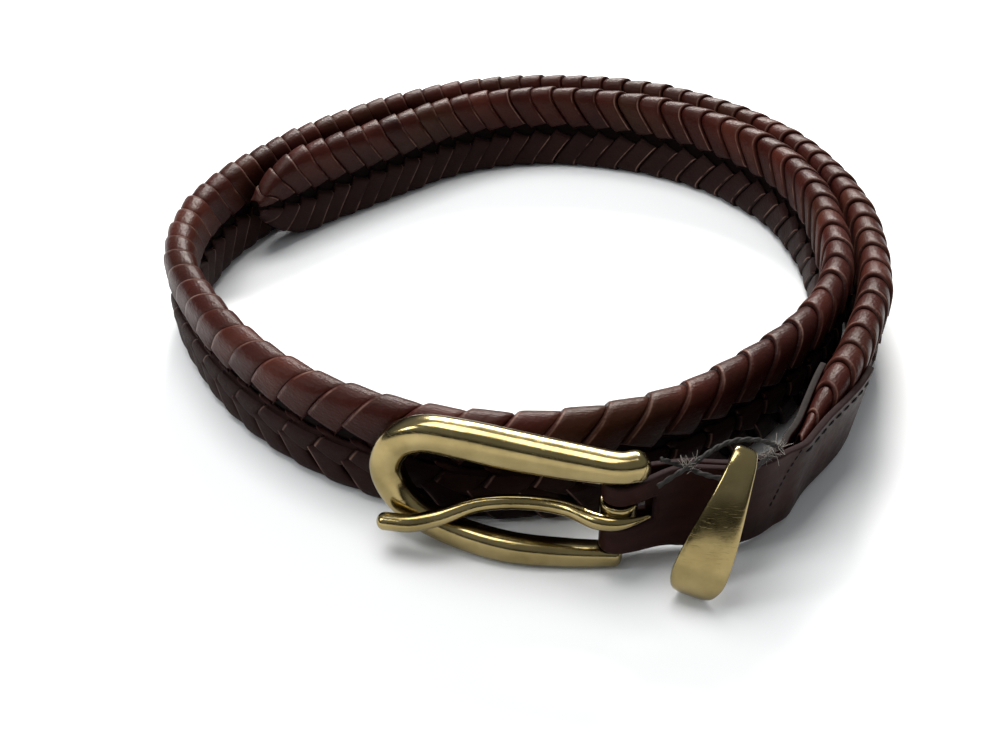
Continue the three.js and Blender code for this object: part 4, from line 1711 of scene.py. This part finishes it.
@dataclass(frozen=True)
class Buckle:
    """The brass frame with its bar."""

    coil: Coil
    length: float = 57.5 * MM
    height: float = 36.5 * MM
    arm_width: float = 8.6 * MM
    arm_depth: float = 7.6 * MM
    bar_diameter: float = 4 * MM
    overrun: float = 7 * MM
    squareness: float = 2.7  # power of the arms' section
    bar_sides: int = 32
    bar_sections: int = 12
    swing: float = math.radians(-31)
    arms: Table = field(default_factory=lambda: Table(
        along=(0, 0.18, 0.42, 0.66, 0.84, 0.95, 1, 0.965, 0.87, 0.7, 0.45, 0.2, 0),
        up=(0.86, 0.84, 0.83, 0.855, 0.85, 0.75, 0.56, 0.38, 0.235, 0.145, 0.11, 0.095, 0.085),
        wide=(0.84, 1, 1.14, 1.14, 1.07, 1.02, 1, 0.95, 0.88, 0.86, 0.86, 0.76, 0.66),
        deep=(0.92, 1, 1.05, 1.05, 1, 1, 1, 1, 0.95, 0.9, 0.9, 0.86, 0.8),
        out=(0.2, 0.12, 0, 0, 0, 0, 0.05, 0.15, 0.3, 0.5, 0.66, 0.38, 0),
    ))

    def bar(self, low: float, high: float) -> Surface:
        """Builds the upright bar.

        Args:
            low: the height of its lower end.
            high: the height of its upper end.

        Returns:
            The bar's skin.
        """
        turn = np.linspace(0, 2 * math.pi, self.bar_sides, endpoint=False)
        section = np.stack([np.cos(turn), np.sin(turn), 0 * turn], 1) * self.bar_diameter / 2
        return Surface.loft(np.array([section + UP * z for z in np.linspace(low, high, self.bar_sections)]))

    def build(self, brass: bpy.types.Material) -> None:
        """Builds the frame.

        Args:
            brass: its material.
        """
        arms = self.arms
        points = np.stack(
            [arms["along"] * self.length, arms["out"] * self.arm_depth, arms["up"] * self.height], 1,
        )
        wide, deep = arms["wide"] * self.arm_width / 2, arms["deep"] * self.arm_depth / 2
        first = np.array([[deep[0] - self.overrun, 0, points[0, 2]]])
        rod = Rod(
            np.concatenate([first, points]), np.append(wide[0], wide), np.append(deep[0], deep),
            deep[0], self.bar_diameter / 2, power=self.squareness,
        ).surface()
        casting = Surface.join([rod, self.bar(points[-1, 2], points[0, 2])])
        made = placed(casting, "buckle_frame", self.swing, self.coil)
        settle(made.object("buckle_casting", [brass]), Body.FRAME, Slot.BRASS, "buckle_frame")


@dataclass(frozen=True)
class Prong:
    """The brass prong, a waved rod with an eye round the bar."""

    coil: Coil
    length: float = 56.5 * MM
    diameter: float = 4.2 * MM
    height: float = 18 * MM
    drop: float = 8.8 * MM
    swing: float = math.radians(-22.5)
    eye_bore: float = 2.35 * MM
    eye_wall: float = 2.3 * MM
    eye_width: float = 6 * MM
    eye_squareness: float = 5  # power of the eye's section
    eye_sections: int = 48
    eye_sides: int = 24
    sides: int = 32
    wave: Table = field(default_factory=lambda: Table(
        along=(-0.12, -0.06, 0, 0.08, 0.22, 0.4, 0.6, 0.77, 0.88, 1),
        front=(0.7, 1.08, 1.24, 1, -0.2, -0.85, -0.72, 0.2, 0.42, 0.14),
        fall=(-0.03, 0, 0.03, 0.1, 0.22, 0.38, 0.52, 0.72, 0.88, 1),
        thick=(0.26, 0.52, 0.84, 1, 0.95, 0.92, 0.95, 1.02, 1.1, 1.08),
    ))

    def eye(self) -> Surface:
        """Builds the eye, a ring with rounded edges.

        Returns:
            The eye's skin.
        """
        turn = np.linspace(0, 2 * math.pi, self.eye_sections, endpoint=False)[:, None]
        section = superellipse(self.eye_sides, self.eye_squareness) * [self.eye_wall / 2, self.eye_width / 2]
        radius = self.eye_bore + self.eye_wall / 2 + section[None, :, 0]
        height = self.height + section[None, :, 1] + 0 * turn
        rings = np.stack([radius * np.cos(turn), radius * np.sin(turn), height], -1)
        return Surface.loft(rings, endless=True)

    def build(self, brass: bpy.types.Material) -> None:
        """Builds the prong.

        Args:
            brass: its material.
        """
        wave = self.wave
        height = self.height - wave["fall"] * self.drop
        points = np.stack([wave["along"] * self.length, wave["front"] * self.diameter, height], 1)
        half = wave["thick"] * self.diameter / 2
        rod = Rod(points, half, half, self.diameter / 4, self.diameter / 2, self.sides).surface()
        made = placed(Surface.join([rod, self.eye()]), "prong", self.swing, self.coil)
        settle(made.object("buckle_prong", [brass]), Body.PRONG, Slot.BRASS, "prong")


@dataclass(frozen=True)
class Keeper:
    """The loose brass keeper, a tapered front band closed by a straight bar."""

    height: float = 37.4 * MM
    depth: float = 9.4 * MM
    band: float = 12.6 * MM
    thickness: float = 2 * MM
    squareness: float = 3  # power of the band's section
    sides: int = 32
    per_span: int = 14
    lean: float = math.radians(16)
    tilt: float = math.radians(18)
    turn: float = math.radians(-16)
    loop: Table = field(default_factory=lambda: Table(
        forward=(0, 0, 0, 0, 0.28, 0.62, 0.88, 1, 1, 0.9, 0.66, 0.3),
        up=(0.1, 0.36, 0.64, 0.9, 0.99, 0.94, 0.78, 0.56, 0.34, 0.15, 0.035, 0),
        wide=(0.36, 0.34, 0.34, 0.36, 0.42, 0.5, 0.62, 0.8, 0.96, 1, 0.8, 0.5),
    ))

    def build(self, brass: bpy.types.Material) -> None:
        """Builds the keeper in its node's place.

        Args:
            brass: its material.
        """
        loop = self.loop
        route = np.stack([0 * loop["up"], -loop["forward"] * self.depth, loop["up"] * self.height], 1)
        line = catmull(route, self.per_span, endless=True)
        ahead = unit(np.roll(line, -1, 0) - np.roll(line, 1, 0))
        share = np.linspace(0, 1, len(line), endpoint=False)
        wide = loop.smooth("wide", share, endless=True) * self.band / 2
        face = np.stack([0 * wide, ahead[:, 2], -ahead[:, 1]], 1)
        section = superellipse(self.sides, self.squareness)
        rings = line[:, None] + section[None, :, 1:] * face[:, None] * self.thickness / 2
        rings[..., 0] = section[None, :, 0] * wide[:, None]
        made = Surface.loft(rings, endless=True)
        turns = (("Y", self.tilt), ("X", -self.lean), ("Z", self.turn))
        about_y, about_x, about_z = (np.array(Matrix.Rotation(angle, 3, axis)) for axis, angle in turns)
        made.points = made.points @ (about_y @ about_x @ about_z).T
        low, high = (np.array(c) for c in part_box("keeper"))
        made.points += (low + high) / 2 - (made.points.min(0) + made.points.max(0)) / 2
        settle(made.object("strap_keeper", [brass]), Body.LEATHER, Slot.BRASS, "keeper")


# The thread


class StrandOfThread(Enum):
    """The thread's two strands, by the nodes that they stand for."""

    OVER = "thread_over"
    THROUGH = "thread_through"


@dataclass(frozen=True)
class Thread:
    """The waxed thread, two plies twisted together, along listed points."""

    coil: Coil
    diameter: float = 1.3 * MM
    twist: float = 5.5 * MM  # length of one turn of the plies
    ply_offset: float = 0.17  # from the strand's middle to a ply's, in diameters
    ply_radius: float = 0.33  # in diameters
    ply_sides: int = 12
    per_span: int = 16
    knot: tuple[int, int, int] = (104, 120, 14)  # samples from and to, and fibres on each strand
    frayed_end: tuple[int, int, int] = (0, 24, 28)
    fibre_seed: int = 8
    routes: dict[StrandOfThread, tuple[tuple[float, float, float], ...]] = field(default_factory=lambda: {
        StrandOfThread.OVER: (
            (59.4, -117.5, 28.6), (57.4, -118.6, 30.6), (54.2, -119.9, 33), (50.4, -121, 34.4),
            (46.4, -121.9, 34.7), (42.6, -123.3, 34), (39, -125.3, 32.8), (35.8, -127, 31.4),
            (32.2, -128.6, 29.9), (28.4, -129.8, 27.6),
        ),
        StrandOfThread.THROUGH: (
            (57.2, -119.3, 28.6), (55, -121.8, 29.6), (52.4, -125, 30.3), (49.6, -128.4, 30.7),
            (46, -130.2, 30.6), (42.4, -129.9, 30.2), (39, -127.8, 29.6), (35.8, -125.6, 29.5),
            (32.2, -126, 31.4), (28.9, -127.8, 34),
        ),
    })

    def line(self, strand: StrandOfThread) -> np.ndarray:
        """Gives the strand's middle line, in metres."""
        return catmull(np.array(self.routes[strand]) * MM + self.coil.shift, self.per_span)

    def ply(self, line: np.ndarray, turn: np.ndarray) -> Surface:
        """Builds one ply of a strand.

        Args:
            line: the strand's middle line.
            turn: the ply's angle round it at each of its points.

        Returns:
            The ply's skin.
        """
        ahead = unit(np.gradient(line, axis=0))
        side = unit(np.cross(ahead, UP))
        over = np.cross(side, ahead)
        out = np.cos(turn)[:, None] * side + np.sin(turn)[:, None] * over
        middle = line + self.ply_offset * self.diameter * out
        way = unit(np.gradient(middle, axis=0))
        across = unit(np.cross(way, over))[:, None]
        above = np.cross(across[:, 0], way)[:, None]
        around = np.linspace(0, 2 * math.pi, self.ply_sides, endpoint=False)[None, :, None]
        section = np.cos(around) * across + np.sin(around) * above
        return Surface.loft(middle[:, None] + self.ply_radius * self.diameter * section)

    def build(self, material: bpy.types.Material) -> None:
        """Builds both strands as free cords.

        Args:
            material: their material.
        """
        for strand in StrandOfThread:
            line = self.line(strand)
            lengths = travelled(line)
            turn = lengths / self.twist * 2 * math.pi
            plies = [self.ply(line, turn + phase) for phase in (0, math.pi)]
            piece = Surface.join(plies).object(strand.value + "_twist", [material])
            settle(piece, Body.LEATHER, Slot.THREAD, strand.value)

    def fibres(self, material: bpy.types.Material) -> None:
        """Builds the pale fibres at the knot and at the frayed end of the inner leaf.

        Args:
            material: their material.
        """
        rng = np.random.default_rng(self.fibre_seed)
        lines = [self.line(strand) for strand in StrandOfThread]
        anchors = [
            tuple(line[i]) for start, end, count in (self.knot, self.frayed_end) for line in lines
            for i in rng.integers(start, end, count)
        ]
        mesh = bpy.data.meshes.new("fibre_roots")
        mesh.from_pydata(anchors, [], [])
        roots = bpy.data.objects.new("fibre_roots", mesh)
        bpy.context.scene.collection.objects.link(roots)
        settle(Tuft().grow(roots, material), Body.LEATHER, Slot.THREAD)


# The studio


@dataclass(frozen=True)
class Lamp:
    """A soft rectangular lamp that faces the belt."""

    name: str
    place: tuple[float, float, float]
    size: tuple[float, float]
    watts: float
    colour: Colour = (1, 1, 1)

    def build(self) -> None:
        """Hangs the lamp."""
        data = bpy.data.lights.new(self.name, "AREA")
        data.shape = "RECTANGLE"
        data.size, data.size_y = self.size
        data.energy = self.watts
        data.color = self.colour
        lamp = bpy.data.objects.new(self.name, data)
        lamp.location = self.place
        lamp.rotation_euler = (-Vector(self.place)).to_track_quat("-Z", "Y").to_euler()
        bpy.context.scene.collection.objects.link(lamp)


@dataclass(frozen=True)
class Studio:
    """Floor, light and camera."""

    coil: Coil
    pitch: float = math.radians(35)
    distance: float = 350 * MM
    sensor: float = 36
    focal_pixels: float = 1148  # focal length in pixels of a picture as wide as the photograph
    picture_width: float = 1000
    clip: Span = (0.01, 20)  # nearest and farthest that the camera sees
    aim: tuple[float, float] = (-8 * MM, -45 * MM)  # looked at, from the loop's own middle
    floor_half: float = 4.0
    horizon: tuple[float, Colour] = (0.1, (0.03, 0.03, 0.03))  # height in the room, and colour
    ceiling: tuple[float, Colour] = (0.5, (0.93, 0.97, 1.0))
    room_strength: float = 0.34
    lamps: tuple[Lamp, ...] = (
        Lamp("back_window", (0.1, 1.5, 1.05), (0.85, 0.2), 48, (1, 0.98, 0.95)),
        Lamp("top_panel", (-0.25, 0.2, 1.4), (1.0, 0.8), 16),
        Lamp("left_window", (-1.2, -0.4, 0.9), (0.35, 0.5), 5, (0.92, 0.97, 1.0)),
    )

    def camera(self) -> None:
        """Puts the camera where the photograph was taken from."""
        data = bpy.data.cameras.new("camera")
        data.lens = self.sensor * self.focal_pixels / self.picture_width
        data.sensor_width = self.sensor
        data.clip_start, data.clip_end = self.clip
        camera = bpy.data.objects.new("camera", data)
        target = self.coil.shift + np.array([*self.aim, 0])
        back = np.array([0, -math.cos(self.pitch), math.sin(self.pitch)]) * self.distance
        camera.location = target + back
        camera.rotation_euler = (math.pi / 2 - self.pitch, 0, 0)
        bpy.context.scene.collection.objects.link(camera)
        bpy.context.scene.camera = camera

    def floor(self) -> None:
        """Lays the floor that the belt lies on."""
        mesh = bpy.data.meshes.new("floor")
        corners = ((-1, -1), (1, -1), (1, 1), (-1, 1))
        points = [(x * self.floor_half, y * self.floor_half, 0) for x, y in corners]
        mesh.from_pydata(points, [], [(0, 1, 2, 3)])
        mesh.materials.append(PaleFloor().material())
        floor = bpy.data.objects.new("floor", mesh)
        bpy.context.scene.collection.objects.link(floor)

    def room(self) -> None:
        """Lights the belt faintly from all round, dark at the horizon and pale above."""
        world = bpy.data.worlds.new("room")
        bpy.context.scene.world = world
        world.use_nodes = True
        tree = world.node_tree
        ways = tree.nodes.new("ShaderNodeTexCoord")
        split = tree.nodes.new("ShaderNodeSeparateXYZ")
        ramp = tree.nodes.new("ShaderNodeValToRGB")
        for element, (height, colour) in zip(ramp.color_ramp.elements, (self.horizon, self.ceiling)):
            element.position = height
            element.color = (*colour, 1)
        tree.links.new(ways.outputs["Generated"], split.inputs[0])
        tree.links.new(split.outputs["Z"], ramp.inputs[0])
        tree.links.new(ramp.outputs[0], tree.nodes["Background"].inputs["Color"])
        tree.nodes["Background"].inputs["Strength"].default_value = self.room_strength

    def build(self) -> None:
        """Builds the floor and the lights."""
        self.floor()
        self.room()
        for lamp in self.lamps:
            lamp.build()
        bpy.context.scene.view_settings.view_transform = "Standard"


def main() -> None:
    """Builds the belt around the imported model, piece by piece."""
    logging.basicConfig(level=logging.INFO, format="%(message)s")
    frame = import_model()
    hinge = next(joint for joint in frame["joints"] if joint["name"] == "frame_hinge")
    coil = Coil(tuple(hinge["pos_m"]))
    studio = Studio(coil)
    studio.camera()
    cord = Thread(coil)
    cord.build(WaxedThread().material())
    braid = Braid(coil)
    braid.build()
    Chape(coil, braid).build(WaxedThread.seam().material())
    brass = Brass().material()
    Buckle(coil).build(brass)
    Prong(coil).build(brass)
    Keeper().build(brass)
    cord.fibres(PaleFibre().material())
    studio.build()


if __name__ == "__main__":
    main()
